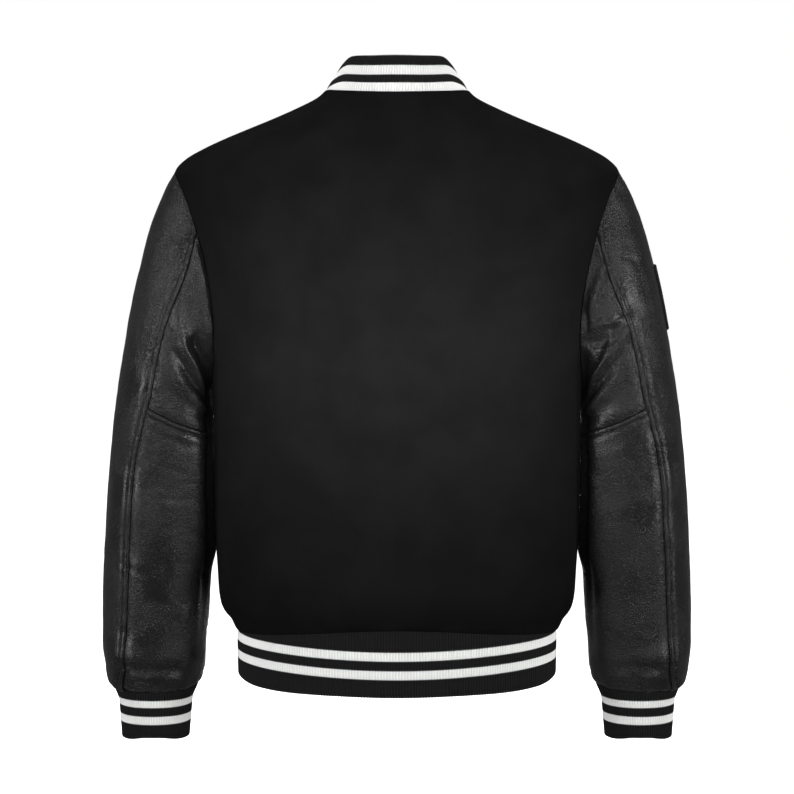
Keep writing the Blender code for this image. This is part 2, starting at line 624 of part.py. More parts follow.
def add_snap(name, seat, out):
    """A snap's cap: a low dome, turned about the line that leaves the cloth."""
    profile = ((1.0, 0.0), (1.0, 0.3), (0.86, 0.68), (0.5, 0.94))
    across = unit(np.cross([0.0, 0.0, 1.0], out))
    up = np.cross(out, across)
    turns = np.linspace(0, 2 * math.pi, SNAP_SIDES, endpoint=False)
    circle = np.cos(turns)[:, None] * across + np.sin(turns)[:, None] * up
    rings = [seat + circle * SNAP_RADIUS * wide + out * SNAP_RISE * high for wide, high in profile]
    points = np.concatenate([*rings, [seat + out * SNAP_RISE]])
    numbers = np.arange(len(profile) * SNAP_SIDES).reshape(len(profile), SNAP_SIDES)
    numbers = np.concatenate([numbers, numbers[:, :1]], axis=1)
    faces = quads(numbers)
    faces.append(list(numbers[0, :-1]))
    faces += [[numbers[-1, k], len(points) - 1, numbers[-1, k + 1]] for k in range(SNAP_SIDES)]
    add_solid(name, points, faces, SNAP_METAL)


def spread_over(points, parts):
    """Places all over a grid's flat faces, with so many steps to each."""
    for axis in (0, 1):
        steps = np.arange(points.shape[axis] * parts - parts + 1) / parts
        row = np.minimum(steps.astype(int), points.shape[axis] - 2)
        share = np.expand_dims(steps - row, (1, 2) if axis == 0 else (0, 2))
        points = np.take(points, row, axis) * (1 - share) + np.take(points, row + 1, axis) * share
    return points.reshape(-1, 3)


def add_snaps(front):
    """Evenly spaced snaps down the centre front, on the wearer's left panel, and the lowest on the hem's rib."""
    centre = np.array(-math.pi / 2)
    levels = np.linspace(0, NECK_LEVEL, 200)
    heights = body(levels, centre)[:, 2]
    cloth = spread_over(front, SNAP_FACE_PARTS)
    for k, height in enumerate(np.linspace(SNAP_TOP, SNAP_BOTTOM, SNAP_COUNT)):
        if height > heights[0]:
            level = np.array(np.interp(height, heights, levels))
            out = normals(body, level, centre)
            seat = body(level, centre)
            above = (cloth - seat) @ out
            covered = np.linalg.norm(cloth - seat - above[:, None] * out, axis=1) < SNAP_RADIUS
            seat = seat + out * above[covered].max()
        else:
            out = np.array([0.0, -1.0, 0.0])
            seat = np.array([0.0, -HEM_BOTTOM["front"], height])
        add_snap(f"snap_{k + 1}", seat + out * SEAM_GAP, out)


def place_on_sleeve(across, height):
    """Level and angle of places on the outside of the sleeve, from Y and Z, by stepping down its slope."""
    angle = np.arcsin(np.clip((across - SLEEVE["middle"][4]) / SLEEVE["depth"][4], -0.9, 0.9))
    level = np.interp(-height, -SLEEVE["outer_z"], np.arange(CUFF_LEVEL + 1.0))
    step = 1e-3
    for _ in range(8):
        place = sleeve(level, angle)
        along = (sleeve(level + step, angle) - place) / step
        around = (sleeve(level, angle + step) - place) / step
        off_y, off_z = across - place[..., 1], height - place[..., 2]
        spread = along[..., 1] * around[..., 2] - along[..., 2] * around[..., 1]
        level = level + (off_y * around[..., 2] - off_z * around[..., 1]) / spread
        angle = angle + (along[..., 1] * off_z - along[..., 2] * off_y) / spread
    return level, angle


def add_patch():
    """A plain patch sewn on the outside of the wearer's right upper sleeve."""
    share = np.linspace(-1, 1, PATCH_FACES + 1)
    down, across = np.meshgrid(share, share, indexing="ij")
    rounding = 1 - PATCH_CORNER * (down * across) ** 4
    level, angle = place_on_sleeve(
        PATCH_Y + PATCH_WIDE / 2 * across * rounding, PATCH_HEIGHT - PATCH_TALL / 2 * down * rounding
    )
    out = sleeve_normals(level, angle)
    lift = sleeve_folds(level, angle) + SEAM_GAP + PATCH_WALL
    outer = sleeve(level, angle) + out * lift[..., None]
    add_wall("sleeve_patch", outer, -out, PATCH_WALL, PATCH_FELT, mirrored=True)


def main():
    """Build the jacket."""
    clear_scene()
    levels, back_edge, front_edge = body_rows()
    back = back_angles(back_edge)
    left = left_front_angles(levels, front_edge)
    right = right_front_angles(levels, front_edge)
    body_panel("back", levels, back, at_armhole=(0, -1))
    front = body_panel("front_left", levels, left, at_armhole=(0,))
    body_panel("front_right", levels, right, at_armhole=(0,), under=True)
    add_hem(np.concatenate([left[0, ::-1], back[0, 1:], right[0, 1:] + 2 * math.pi]))
    gap = math.atan2(COLLAR_HALF_GAP, BODY["front"][-1])
    left_half = np.concatenate([[gap - math.pi / 2], left[-1, -3::-1]])
    right_half = np.concatenate([right[-1, 1:-1], [-math.pi / 2 - gap]]) + 2 * math.pi
    add_collar(np.concatenate([left_half, back[-1, 1:], right_half]))
    for side, name in ((WEARER_LEFT, "left"), (WEARER_RIGHT, "right")):
        add_sleeve(side, f"sleeve_{name}")
        add_cuff(side, f"cuff_{name}")
    add_snaps(front)
    add_patch()


main()
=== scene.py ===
"""Varsity jacket, filled out as if worn: a wool melton body, leather sleeves, and striped rib knit at the
neck, cuffs and hem.

+Z is up, the front faces -Y and the wearer's left is +X. Sizes are in metres. The body and each sleeve are
one smooth form, read at a level along it and an angle round it. Each piece of cloth is a grid on its form
that is lifted by folds and turned in at its seams, and then given an inside.
"""

import json
import math

import bpy
import numpy as np
from bpy.props import FloatProperty, FloatVectorProperty, PointerProperty
from mathutils import Matrix, Vector

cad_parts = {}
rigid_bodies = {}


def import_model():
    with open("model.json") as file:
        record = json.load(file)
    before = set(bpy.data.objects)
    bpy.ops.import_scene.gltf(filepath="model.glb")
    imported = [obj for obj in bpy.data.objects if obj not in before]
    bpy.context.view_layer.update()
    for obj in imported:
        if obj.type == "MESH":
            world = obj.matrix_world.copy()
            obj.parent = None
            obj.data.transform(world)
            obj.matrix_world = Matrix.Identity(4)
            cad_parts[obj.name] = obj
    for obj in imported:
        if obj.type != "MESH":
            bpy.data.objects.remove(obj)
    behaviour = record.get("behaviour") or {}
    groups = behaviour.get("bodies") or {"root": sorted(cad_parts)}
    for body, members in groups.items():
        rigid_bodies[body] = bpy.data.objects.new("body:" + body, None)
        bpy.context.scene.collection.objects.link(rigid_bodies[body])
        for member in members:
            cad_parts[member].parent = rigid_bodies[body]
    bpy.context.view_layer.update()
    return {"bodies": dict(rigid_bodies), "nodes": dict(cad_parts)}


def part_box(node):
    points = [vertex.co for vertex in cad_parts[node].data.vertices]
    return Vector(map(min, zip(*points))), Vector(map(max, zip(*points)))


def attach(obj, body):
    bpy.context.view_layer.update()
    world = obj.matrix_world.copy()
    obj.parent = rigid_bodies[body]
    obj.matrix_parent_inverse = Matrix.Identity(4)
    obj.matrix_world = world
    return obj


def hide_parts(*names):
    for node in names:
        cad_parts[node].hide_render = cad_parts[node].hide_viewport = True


bl_info = {
    "name": "Varsity jacket",
    "version": (1, 0, 0),
    "blender": (4, 5, 0),
    "location": "3D View > Sidebar > Jacket",
    "description": "Builds a varsity jacket of wool, leather and rib knit around its packed frame",
    "category": "Object",
}

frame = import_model()
BODY_NAME = next(iter(frame["bodies"]))

# Sides of the wearer
LEFT = 1
RIGHT = -1
SIDES = {LEFT: "left", RIGHT: "right"}

# Cloth and seams
WOOL_WALL = 0.0022
LEATHER_WALL = 0.0018
RIB_WALL = 0.0028
SEAM_GAP = 0.0003
RIB_PITCH = 0.0031

# Grids: how far apart the points of each cloth lie, and how close they come beside a seam
WOOL_STEP = 0.0038
LEATHER_STEP = 0.0022
RIB_STEP = 0.0026
SEAM_STEPS = np.array([0.0, 0.0004, 0.0009, 0.0016, 0.0026, 0.0040])
BAND_STEPS = np.array(
    [0.0, 0.0004, 0.0009, 0.0016, 0.0025, 0.0035, 0.0045, 0.0053, 0.0060, 0.0067, 0.0076, 0.0090]
)
ELBOW_STEPS = np.arange(18) * 0.0008
RIB_PARTS = 8
INSIDE_STRIDE = 2
SHARP_ANGLE = math.radians(55)

# Topstitched seams
STITCH_OFFSET = 0.0060
STITCH_PITCH = 0.0036
STITCH_RINGS = 5
STITCH_SIDES = 6
BAND_RISE = 0.0015
STITCH_DIP = 0.0010
SWELL_RISE = 0.0010
TURN_WIDTH = 0.006

# Rib bands: the tuck and the flare beside their seams, and how their free edges stand off their rings
RIB_TUCK = 0.0009
RIB_TUCK_HEIGHT = 0.005
CUFF_SEAM_GAP = 0.0001
FLARE_SHARE = 0.28
COLLAR_BACK_RISE = 0.0063
COLLAR_BACK_DIP = 0.0035
COLLAR_DROP = 0.0010
COLLAR_SHOULDER = 0.0033
HEM_CORNER = 0.0042
CUFF_CORNER = 0.0030

# Body rings, from the hem seam to the neck seam. The depths run from the side seam line to the centre back
# and front. The drops are how much lower the ring is there than at its sides.
RING_COLUMNS = ("height", "half_width", "back", "front", "back_drop", "front_drop", "square", "point")
BODY_RINGS = (
    (-0.5925, 0.1768, 0.1180, 0.1170, -0.0175, -0.0125, 2.05, 0.0000),  # hem seam
    (-0.5810, 0.1820, 0.1230, 0.1225, -0.0110, -0.0070, 2.05, 0.0000),
    (-0.5700, 0.1912, 0.1275, 0.1275, -0.0080, -0.0050, 2.10, 0.0000),
    (-0.5570, 0.1962, 0.1300, 0.1300, -0.0040, -0.0020, 2.15, 0.0000),
    (-0.5350, 0.1990, 0.1310, 0.1315, 0.0000, 0.0000, 2.20, 0.0000),
    (-0.4930, 0.2000, 0.1300, 0.1330, 0.0000, 0.0000, 2.25, 0.0000),
    (-0.4300, 0.2010, 0.1285, 0.1345, 0.0000, 0.0010, 2.30, 0.0000),
    (-0.3750, 0.2015, 0.1285, 0.1355, 0.0020, 0.0060, 2.35, 0.0000),
    (-0.3280, 0.2020, 0.1295, 0.1360, 0.0050, 0.0140, 2.40, 0.0000),  # underarm
    (-0.2840, 0.2075, 0.1305, 0.1360, 0.0090, 0.0250, 2.45, 0.0000),
    (-0.2290, 0.2160, 0.1300, 0.1360, 0.0150, 0.0430, 2.45, 0.0000),
    (-0.1740, 0.2245, 0.1280, 0.1350, 0.0230, 0.0600, 2.45, 0.0000),
    (-0.1300, 0.2305, 0.1250, 0.1320, 0.0310, 0.0730, 2.40, 0.0020),
    (-0.1025, 0.2320, 0.1215, 0.1290, 0.0365, 0.0775, 2.35, 0.0080),
    (-0.0880, 0.2290, 0.1190, 0.1260, 0.0380, 0.0800, 2.30, 0.0130),  # shoulder point
    (-0.0750, 0.2190, 0.1155, 0.1220, 0.0370, 0.0800, 2.25, 0.0110),
    (-0.0640, 0.2040, 0.1120, 0.1180, 0.0350, 0.0800, 2.20, 0.0070),
    (-0.0530, 0.1835, 0.1075, 0.1130, 0.0320, 0.0790, 2.20, 0.0040),
    (-0.0420, 0.1590, 0.1020, 0.1060, 0.0270, 0.0780, 2.15, 0.0020),
    (-0.0310, 0.1330, 0.0965, 0.0970, 0.0220, 0.0770, 2.15, 0.0010),
    (-0.0200, 0.1090, 0.0900, 0.0860, 0.0170, 0.0750, 2.10, 0.0000),
    (-0.0095, 0.0880, 0.0820, 0.0780, 0.0110, 0.0730, 2.10, 0.0000),
    (-0.0010, 0.0780, 0.0750, 0.0730, 0.0085, 0.0690, 2.10, 0.0000),  # neck seam
)
UNDERARM_LEVEL = 8
SHOULDER_LEVEL = 14
NECK_LEVEL = len(BODY_RINGS) - 1
COLLAR_TOP_RING = (0.0280, 0.0605, 0.0645, 0.0665, -0.0010, 0.0620, 2.10, 0.0)
HEM_BOTTOM_RING = (-0.6395, 0.1762, 0.1185, 0.1165, 0.0055, 0.0030, 2.05, 0.0)
DROP_POWER = 1.4
POINT_SPREAD = math.radians(17.0)

# The armhole is an oval round the side of the body. The angles say how far its edge reaches towards the
# back and front, and its skew moves the widest part downwards.
ARMHOLE_BACK = math.radians(18.5)
ARMHOLE_FRONT = math.radians(27.0)
ARMHOLE_SKEW = 0.20

# Sleeve rings from the armhole to the cuff seam: the outer and inner point in the X-Z plane, half the depth
# along Y, the middle in Y, the squareness, and the angle of the back and front seams round the ring, from
# 0 on the outside through 90 at the back.
SLEEVE_COLUMNS = (
    "outer_x", "outer_z", "inner_x", "inner_z", "depth", "middle", "square", "back_seam", "front_seam"
)
SLEEVE_RINGS = (
    (0.2420, -0.0880, 0.2024, -0.3280, 0.0790, 0.0000, 2.2, 64, 225),  # armhole
    (0.2555, -0.1130, 0.2042, -0.3305, 0.0800, 0.0000, 2.2, 75, 225),
    (0.2680, -0.1450, 0.2046, -0.3345, 0.0800, 0.0005, 2.2, 80, 225),
    (0.2775, -0.1790, 0.2048, -0.3395, 0.0795, 0.0010, 2.2, 81, 226),
    (0.2865, -0.2170, 0.2048, -0.3460, 0.0790, 0.0015, 2.2, 82, 227),
    (0.2945, -0.2590, 0.2048, -0.3550, 0.0780, 0.0020, 2.2, 82, 228),
    (0.3018, -0.3020, 0.2047, -0.3670, 0.0765, 0.0025, 2.2, 81, 230),
    (0.3085, -0.3450, 0.2045, -0.3840, 0.0745, 0.0025, 2.2, 76, 230),
    (0.3138, -0.3880, 0.2042, -0.4080, 0.0725, 0.0015, 2.2, 70, 230),
    (0.3180, -0.4310, 0.2040, -0.4400, 0.0700, 0.0000, 2.2, 67, 230),
    (0.3212, -0.4740, 0.2038, -0.4780, 0.0675, -0.0025, 2.2, 66, 230),
    (0.3238, -0.5170, 0.2040, -0.5190, 0.0645, -0.0055, 2.2, 65, 230),
    (0.3262, -0.5600, 0.2066, -0.5610, 0.0620, -0.0090, 2.2, 65, 230),
    (0.3268, -0.6000, 0.2120, -0.6005, 0.0590, -0.0125, 2.2, 64, 230),
    (0.3256, -0.6280, 0.2140, -0.6280, 0.0560, -0.0150, 2.2, 62, 230),
    (0.3240, -0.6450, 0.2168, -0.6450, 0.0520, -0.0165, 2.2, 58, 230),
    (0.3200, -0.6550, 0.2210, -0.6550, 0.0460, -0.0170, 2.2, 53, 230),
    (0.3118, -0.6600, 0.2272, -0.6600, 0.0385, -0.0170, 2.1, 50, 230),  # cuff seam
)
ELBOW_LEVEL = 6.5
CUFF_LEVEL = len(SLEEVE_RINGS) - 1
ARMHOLE_BLEND_LEVEL = 6.0
SLEEVE_CLEARANCE = 0.0003
INNER_CUFF_RISE = 1.0
OUTER_CUFF_RISE = 0.6
PRESS_END = -0.532
PRESS_GAP = 0.0006
PRESS_REACH = 0.0055
CUFF_BOTTOM = dict(
    outer_x=0.3082, outer_z=-0.7130, inner_x=0.2325, inner_z=-0.7130, depth=0.0330, middle=-0.0180, square=2.0
)

# Soft folds, each a long low hump, or a trough where its rise is below zero. On the body the angle, from +X,
# and the half width are in degrees, and the lean is in degrees for each metre up.
BODY_FOLD_COLUMNS = ("angle", "height", "lean", "half_length", "half_width", "rise")
BODY_FOLDS = (
    (52, -0.560, 40, 0.060, 5.0, -0.0035),
    (70, -0.568, -60, 0.050, 4.0, 0.0022),
    (88, -0.552, 20, 0.075, 4.5, -0.0038),
    (97, -0.566, -30, 0.045, 3.5, 0.0024),
    (114, -0.556, -50, 0.065, 5.0, -0.0034),
    (134, -0.566, 60, 0.050, 5.0, 0.0022),
    (222, -0.560, 40, 0.060, 5.0, -0.0030),
    (240, -0.566, -40, 0.050, 4.5, 0.0022),
    (298, -0.556, 30, 0.065, 5.0, -0.0030),
    (318, -0.564, -50, 0.050, 4.5, 0.0022),
    (0, -0.532, 0, 0.032, 14.0, -0.0020),
    (180, -0.532, 0, 0.032, 14.0, -0.0020),
)

# On the sleeve the angle and the half length are in degrees, the half width is in levels, and the slope is in
# levels for each radian.
SLEEVE_FOLD_COLUMNS = ("level", "angle", "slope", "half_length", "half_width", "rise")
SLEEVE_FOLDS = (
    (2.9, 108, 0.9, 30, 0.50, 0.0045),
    (3.7, 128, 1.0, 34, 0.45, -0.0045),
    (4.6, 120, 0.7, 42, 0.50, 0.0030),
    (5.6, 140, 0.5, 34, 0.45, -0.0015),
    (7.6, 118, -0.3, 38, 0.45, 0.0010),
    (8.8, 104, 0.2, 40, 0.40, -0.0010),
    (5.4, 235, -0.6, 36, 0.50, -0.0045),
    (6.6, 250, -0.4, 40, 0.50, 0.0050),
    (7.7, 244, -0.2, 38, 0.45, -0.0040),
    (3.4, 262, -0.9, 30, 0.50, 0.0040),
    (13.6, 75, 0.1, 45, 0.50, 0.0035),
    (14.4, 250, -0.1, 50, 0.50, 0.0035),
    (11.7, 180, 0.0, 40, 0.90, -0.0022),
    (8.4, 138, 0.0, 13, 3.60, 0.0045),
    (8.4, 158, 0.0, 12, 3.60, -0.0085),
    (8.4, 201, 0.0, 10, 3.60, -0.0045),
)

# Creases of the leather, each along a line between two places of the sleeve as seen from behind or in front:
# out from the centre, and up. Side is 1 on the wearer's left, -1 on the right and 0 on both, and face is 1
# behind and -1 in front.
CREASE_COLUMNS = ("side", "face", "x", "z", "x_end", "z_end", "half_width", "rise")
CREASES = (
    (1, 1, 0.2150, -0.172, 0.2000, -0.222, 0.0045, 0.0052),
    (1, 1, 0.2010, -0.220, 0.1955, -0.268, 0.0045, 0.0048),
    (1, 1, 0.1995, -0.206, 0.1945, -0.246, 0.0034, -0.0050),
    (1, 1, 0.2125, -0.268, 0.2070, -0.300, 0.0046, -0.0065),
    (1, 1, 0.2050, -0.296, 0.1985, -0.352, 0.0075, -0.0095),
    (1, 1, 0.2180, -0.286, 0.2120, -0.322, 0.0042, 0.0030),
    (1, 1, 0.2440, -0.256, 0.2200, -0.300, 0.0060, 0.0034),
    (1, 1, 0.2890, -0.6385, 0.2680, -0.6400, 0.0048, 0.0028),
    (1, 1, 0.2540, -0.6420, 0.2380, -0.6400, 0.0044, 0.0030),
    (1, 1, 0.2900, -0.6270, 0.2400, -0.6285, 0.0060, -0.0018),
    (-1, 1, 0.2139, -0.1705, 0.2245, -0.1886, 0.0050, 0.0030),
    (-1, 1, 0.2205, -0.1880, 0.2035, -0.2500, 0.0044, 0.0055),
    (-1, 1, 0.2437, -0.2480, 0.2070, -0.2590, 0.0046, 0.0050),
    (-1, 1, 0.2300, -0.2680, 0.2011, -0.2750, 0.0065, -0.0038),
    (-1, 1, 0.2437, -0.2556, 0.2160, -0.3141, 0.0060, 0.0050),
    (-1, 1, 0.1990, -0.2200, 0.2000, -0.2600, 0.0042, -0.0055),
    (-1, 1, 0.2030, -0.2900, 0.2010, -0.3350, 0.0060, -0.0075),
    (-1, 1, 0.2420, -0.6390, 0.2530, -0.6400, 0.0046, 0.0026),
    (-1, 1, 0.2680, -0.6400, 0.2840, -0.6385, 0.0046, 0.0032),
    (-1, 1, 0.2400, -0.6270, 0.2900, -0.6290, 0.0060, -0.0018),
    (0, -1, 0.2200, -0.1800, 0.2020, -0.2400, 0.0055, 0.0030),
    (0, -1, 0.2060, -0.2560, 0.2400, -0.2440, 0.0045, -0.0028),
    (0, -1, 0.2080, -0.2900, 0.2450, -0.2750, 0.0050, -0.0030),
    (0, -1, 0.2080, -0.3050, 0.2500, -0.2900, 0.0055, 0.0030),
    (0, -1, 0.2080, -0.3350, 0.2460, -0.3300, 0.0050, -0.0026),
)

# Fine wrinkles of each sleeve: how many, the least and most of their height, half length, depth and half
# width, and the mean and spread of their lean in degrees
WRINKLE_SEED = 7
WRINKLES = 60
WRINKLE_HEIGHTS = (-0.62, -0.14)
WRINKLE_LEAN = (-8.0, 24.0)
WRINKLE_LENGTHS = (0.006, 0.016)
WRINKLE_DEPTHS = (0.0003, 0.0009)
WRINKLE_WIDTHS = (0.0026, 0.0042)

# Soft lumps of each cloth: rise, size and seed
LUMP_LATTICE = 32
WOOL_LUMPS = ((0.0004, 0.030, 3), (0.0009, 0.085, 5))
LEATHER_LUMPS = ((0.00050, 0.021, 11), (0.00018, 0.008, 17))

# Front closing
LAP = 0.012
LAP_COVERED = 0.014
LAP_SLOPE_END = 0.028
LAP_DEPTH = 0.0040
COLLAR_CORNER = 0.018
COLLAR_HALF_GAP = 0.0012

# Snaps, whose profile gives shares of their radius and their rise
SNAP_RADIUS = 0.0075
SNAP_RISE = 0.0031
SNAP_TURNS = 40
SNAP_PROFILE = (
    (0.94, 0.0), (1.0, 0.10), (1.0, 0.34), (0.975, 0.44), (0.93, 0.48), (0.89, 0.44), (0.86, 0.50),
    (0.82, 0.64), (0.70, 0.82), (0.50, 0.94), (0.28, 0.99), (0.10, 1.0),
)

# Patch on the outside of the wearer's right upper sleeve, upright: its middle, size, felt and border
PATCH_HEIGHT = -0.226
PATCH_Y = -0.006
PATCH_TALL = 0.072
PATCH_WIDE = 0.064
PATCH_FELT = 0.0016
PATCH_CORNER = 0.10
PATCH_CELLS = 64
BORDER_WIDTH = 0.0026
BORDER_RISE = 0.0007
BORDER_SLOPE = 0.0006

# Stripes of the rib knit, in metres from its free edge, and the height of one row of knitting
COURSE = 0.0013
COLLAR_STRIPES = ((0.0130, 0.0234), (0.0325, 0.0480))
HEM_STRIPES = ((0.0195, 0.0286), (0.0390, 0.0481))
CUFF_STRIPES = ((0.0169, 0.0260), (0.0364, 0.0442))

# Camera and stage
CAMERA_PLACE = (0.0, 2.05, -0.229)
CAMERA_PITCH = math.atan(0.052)
CAMERA_LENS = 84.5
FLOOR_HEIGHT = -1.15
FLOOR_HALF = 14.0
AMBIENT = 0.14
BOX_AIM = (0.0, 0.0, -0.25)
BOXES = (
    # name, place, width and height, watts
    ("box_behind", (0.0, 3.0, -0.1), (1.7, 1.7), 3.0),
    ("box_near_left", (1.3, 2.1, 0.1), (0.35, 0.9), 12.0),
    ("box_near_right", (-1.3, 2.1, 0.1), (0.35, 0.9), 12.0),
    ("box_left", (1.9, 1.25, -0.2), (0.45, 1.9), 25.0),
    ("box_right", (-1.9, 1.25, -0.2), (0.45, 1.9), 25.0),
    ("box_above", (0.0, 0.2, 2.3), (1.8, 0.8), 55.0),
    ("box_front", (0.0, -2.6, 0.2), (1.6, 1.6), 60.0),
)
POOL_PLACE = (0.0, 2.7, -0.05)
POOLS = (
    # name, aim, angle in degrees, watts
    ("pool_left", (0.12, 0.0, -0.290), 11.0, 700.0),
    ("pool_right", (-0.12, 0.0, -0.290), 11.0, 700.0),
    ("pool_low_left", (0.20, 0.0, -0.75), 11.0, 145.0),
    ("pool_low_right", (-0.20, 0.0, -0.75), 11.0, 145.0),
)
POOL_SIZE = 0.16


# ------------------------------------------------------------------------------------------------ settings


class JacketSizes(bpy.types.PropertyGroup):
    """Sizes of the fine work."""

    rib_depth: FloatProperty(
        name="Rib depth", description="Height of a rib over its valley", default=0.0010, unit="LENGTH"
    )
    stitch_length: FloatProperty(
        name="Stitch length", description="Length of one topstitch", default=0.0031, unit="LENGTH"
    )
    thread: FloatProperty(name="Thread", description="Thickness of the thread", default=0.0006, unit="LENGTH")
    grain: FloatProperty(
        name="Leather grain", description="Width of one pebble of the grain", default=0.0017, unit="LENGTH"
    )
    nap: FloatProperty(name="Wool nap", description="Size of the wool's tufts", default=0.0012, unit="LENGTH")


def colour(name, description, default):
    """A colour setting with its name, description and default."""
    return FloatVectorProperty(
        name=name, description=description, subtype="COLOR", size=3, min=0.0, max=1.0, default=default
    )


class JacketColours(bpy.types.PropertyGroup):
    """Colours of the cloth, leather and trims."""

    wool: colour("Wool", "Body of the jacket", (0.0048, 0.0048, 0.0050))
    leather: colour("Leather", "Sleeves", (0.0050, 0.0050, 0.0052))
    rib: colour("Rib", "Ground of the rib knit", (0.0092, 0.0092, 0.0094))
    stripe: colour("Stripe", "Stripes of the rib knit", (0.81, 0.81, 0.80))
    thread: colour("Thread", "Topstitching", (0.0080, 0.0080, 0.0082))
    snap: colour("Snap", "Lacquer of the snaps", (0.0100, 0.0100, 0.0110))
    patch: colour("Patch", "Felt of the patch", (0.0070, 0.0070, 0.0072))
    floor: colour("Floor", "Floor of the stage", (0.90, 0.90, 0.90))


# ----------------------------------------------------------------------------------------------- materials


class Socket:
    """A shader value. Arithmetic on it adds Math nodes to its material."""

    def __init__(self, look, socket):
        self.look = look
        self.socket = socket

    def math(self, operation, *others):
        """This value and others through a Math node."""
        inputs = dict(enumerate((self, *others)))
        return self.look.node("ShaderNodeMath", {"operation": operation}, inputs)

    def __add__(self, other):
        return self.math("ADD", other)

    def __sub__(self, other):
        return self.math("SUBTRACT", other)

    def __rsub__(self, other):
        return self.look.node("ShaderNodeMath", {"operation": "SUBTRACT"}, {0: other, 1: self})

    def __mul__(self, other):
        return self.math("MULTIPLY", other)

    def __truediv__(self, other):
        return self.math("DIVIDE", other)

    __radd__ = __add__
    __rmul__ = __mul__


class Look:
    """One material, built from nodes."""

    def __init__(self, name):
        self.material = bpy.data.materials.new(name)
        self.material.use_nodes = True
        self.tree = self.material.node_tree
        self.shader = self.tree.nodes["Principled BSDF"]

    def node(self, kind, settings=None, inputs=None, output=0):
        """Add a node: its settings are set first, then the values or links of its sockets."""
        made = self.tree.nodes.new(kind)
        for key, value in (settings or {}).items():
            setattr(made, key, value)
        for key, value in (inputs or {}).items():
            self.put(made.inputs[key], value)
        return Socket(self, made.outputs[output])

    def put(self, socket, value):
        """Link a value to a socket, or set the socket to a plain number or colour."""
        if isinstance(value, Socket):
            self.tree.links.new(value.socket, socket)
        else:
            socket.default_value = value

    def finish(self, **inputs):
        """Set the shader's sockets by name, with underscores for spaces."""
        for key, value in inputs.items():
            self.put(self.shader.inputs[key.replace("_", " ")], value)
        return self.material

    def place(self):
        """Object coordinates."""
        return self.node("ShaderNodeTexCoord", output="Object")

    def field(self, name):
        """A number stored on the piece's points."""
        return self.node("ShaderNodeAttribute", {"attribute_name": name}, output="Fac")

    def noise(self, vector, scale, detail=2.0, roughness=0.5):
        """A noise value from 0 to 1."""
        inputs = {"Vector": vector, "Scale": scale, "Detail": detail, "Roughness": roughness}
        return self.node("ShaderNodeTexNoise", inputs=inputs)

    def cells(self, vector, scale, smoothness):
        """Distance from the middles of soft random cells."""
        settings = {"feature": "SMOOTH_F1"}
        inputs = {"Vector": vector, "Scale": scale, "Smoothness": smoothness}
        return self.node("ShaderNodeTexVoronoi", settings, inputs)

    def spread(self, value, low, high, low_to=0.0, high_to=1.0):
        """A value mapped from one range to another, and held within it."""
        inputs = {0: value, 1: low, 2: high, 3: low_to, 4: high_to}
        return self.node("ShaderNodeMapRange", {"clamp": True, "interpolation_type": "SMOOTHSTEP"}, inputs)

    def mix(self, factor, first, second):
        """Two colours mixed."""
        inputs = {0: factor, 6: first, 7: second}
        return self.node("ShaderNodeMix", {"data_type": "RGBA"}, inputs, output=2)

    def bump(self, height, distance):
        """A normal raised by a height, by the distance at a height of 1."""
        return self.node("ShaderNodeBump", inputs={"Height": height, "Distance": distance, "Strength": 1.0})


def rgba(shade, times=1.0):
    """A colour with its alpha, made lighter or darker."""
    return (*(min(1.0, part * times) for part in shade), 1.0)


def wool_look(colours, sizes):
    """Wool melton: a dense felted nap, matt, with loose fibres that catch a little light."""
    look = Look("wool_melton")
    place = look.place()
    tufts = look.noise(place, 1 / sizes.nap, 3.0, 0.6)
    fibres = look.noise(place, 3.2 / sizes.nap, 2.0, 0.7)
    felting = look.noise(place, 22.0, 3.0, 0.6)
    shade = look.spread(felting * 0.55 + tufts * 0.45, 0.32, 0.68)
    height = tufts * 0.7 + fibres * 0.3
    return look.finish(
        Base_Color=look.mix(shade, rgba(colours.wool, 0.82), rgba(colours.wool, 1.2)),
        Roughness=0.96,
        Specular_IOR_Level=0.0,
        Sheen_Weight=0.004,
        Sheen_Roughness=0.5,
        Normal=look.bump(height, 0.0006),
    )


def leather_look(colours, sizes):
    """Grained cow leather: pebbles with fine valleys, smoother where the grain is stretched, and hair-fine
    creases that lie level."""
    look = Look("grained_leather")
    place = look.place()
    pebbles = look.cells(place, 1 / sizes.grain, 0.2)
    fine = look.cells(place, 2.3 / sizes.grain, 0.1)
    patchy = look.spread(look.noise(place, 17.0, 2.0, 0.55), 0.35, 0.65)
    grain = (1.0 - look.spread(pebbles, 0.15, 0.62)) * 0.75 + (1.0 - fine) * 0.25
    level = look.node("ShaderNodeVectorMath", {"operation": "MULTIPLY"}, {0: place, 1: (1.0, 1.0, 3.6)})
    contour = (look.noise(level, 95.0, 3.0, 0.55) - 0.5).math("ABSOLUTE")
    creased = (1.0 - look.spread(contour, 0.0, 0.04)) * look.spread(look.noise(place, 26.0, 1.0), 0.44, 0.60)
    waves = look.noise(place, 140.0, 2.0)
    height = grain * (patchy * 0.85 + 0.2) - creased * 0.8 + waves * 0.7
    return look.finish(
        Base_Color=look.mix(grain, rgba(colours.leather, 0.7), rgba(colours.leather, 1.35)),
        Roughness=look.spread(patchy * 0.5 + (1.0 - grain) * 0.5, 0.1, 0.9, 0.23, 0.42),
        Specular_IOR_Level=0.45,
        Normal=look.bump(height, 0.00062),
    )


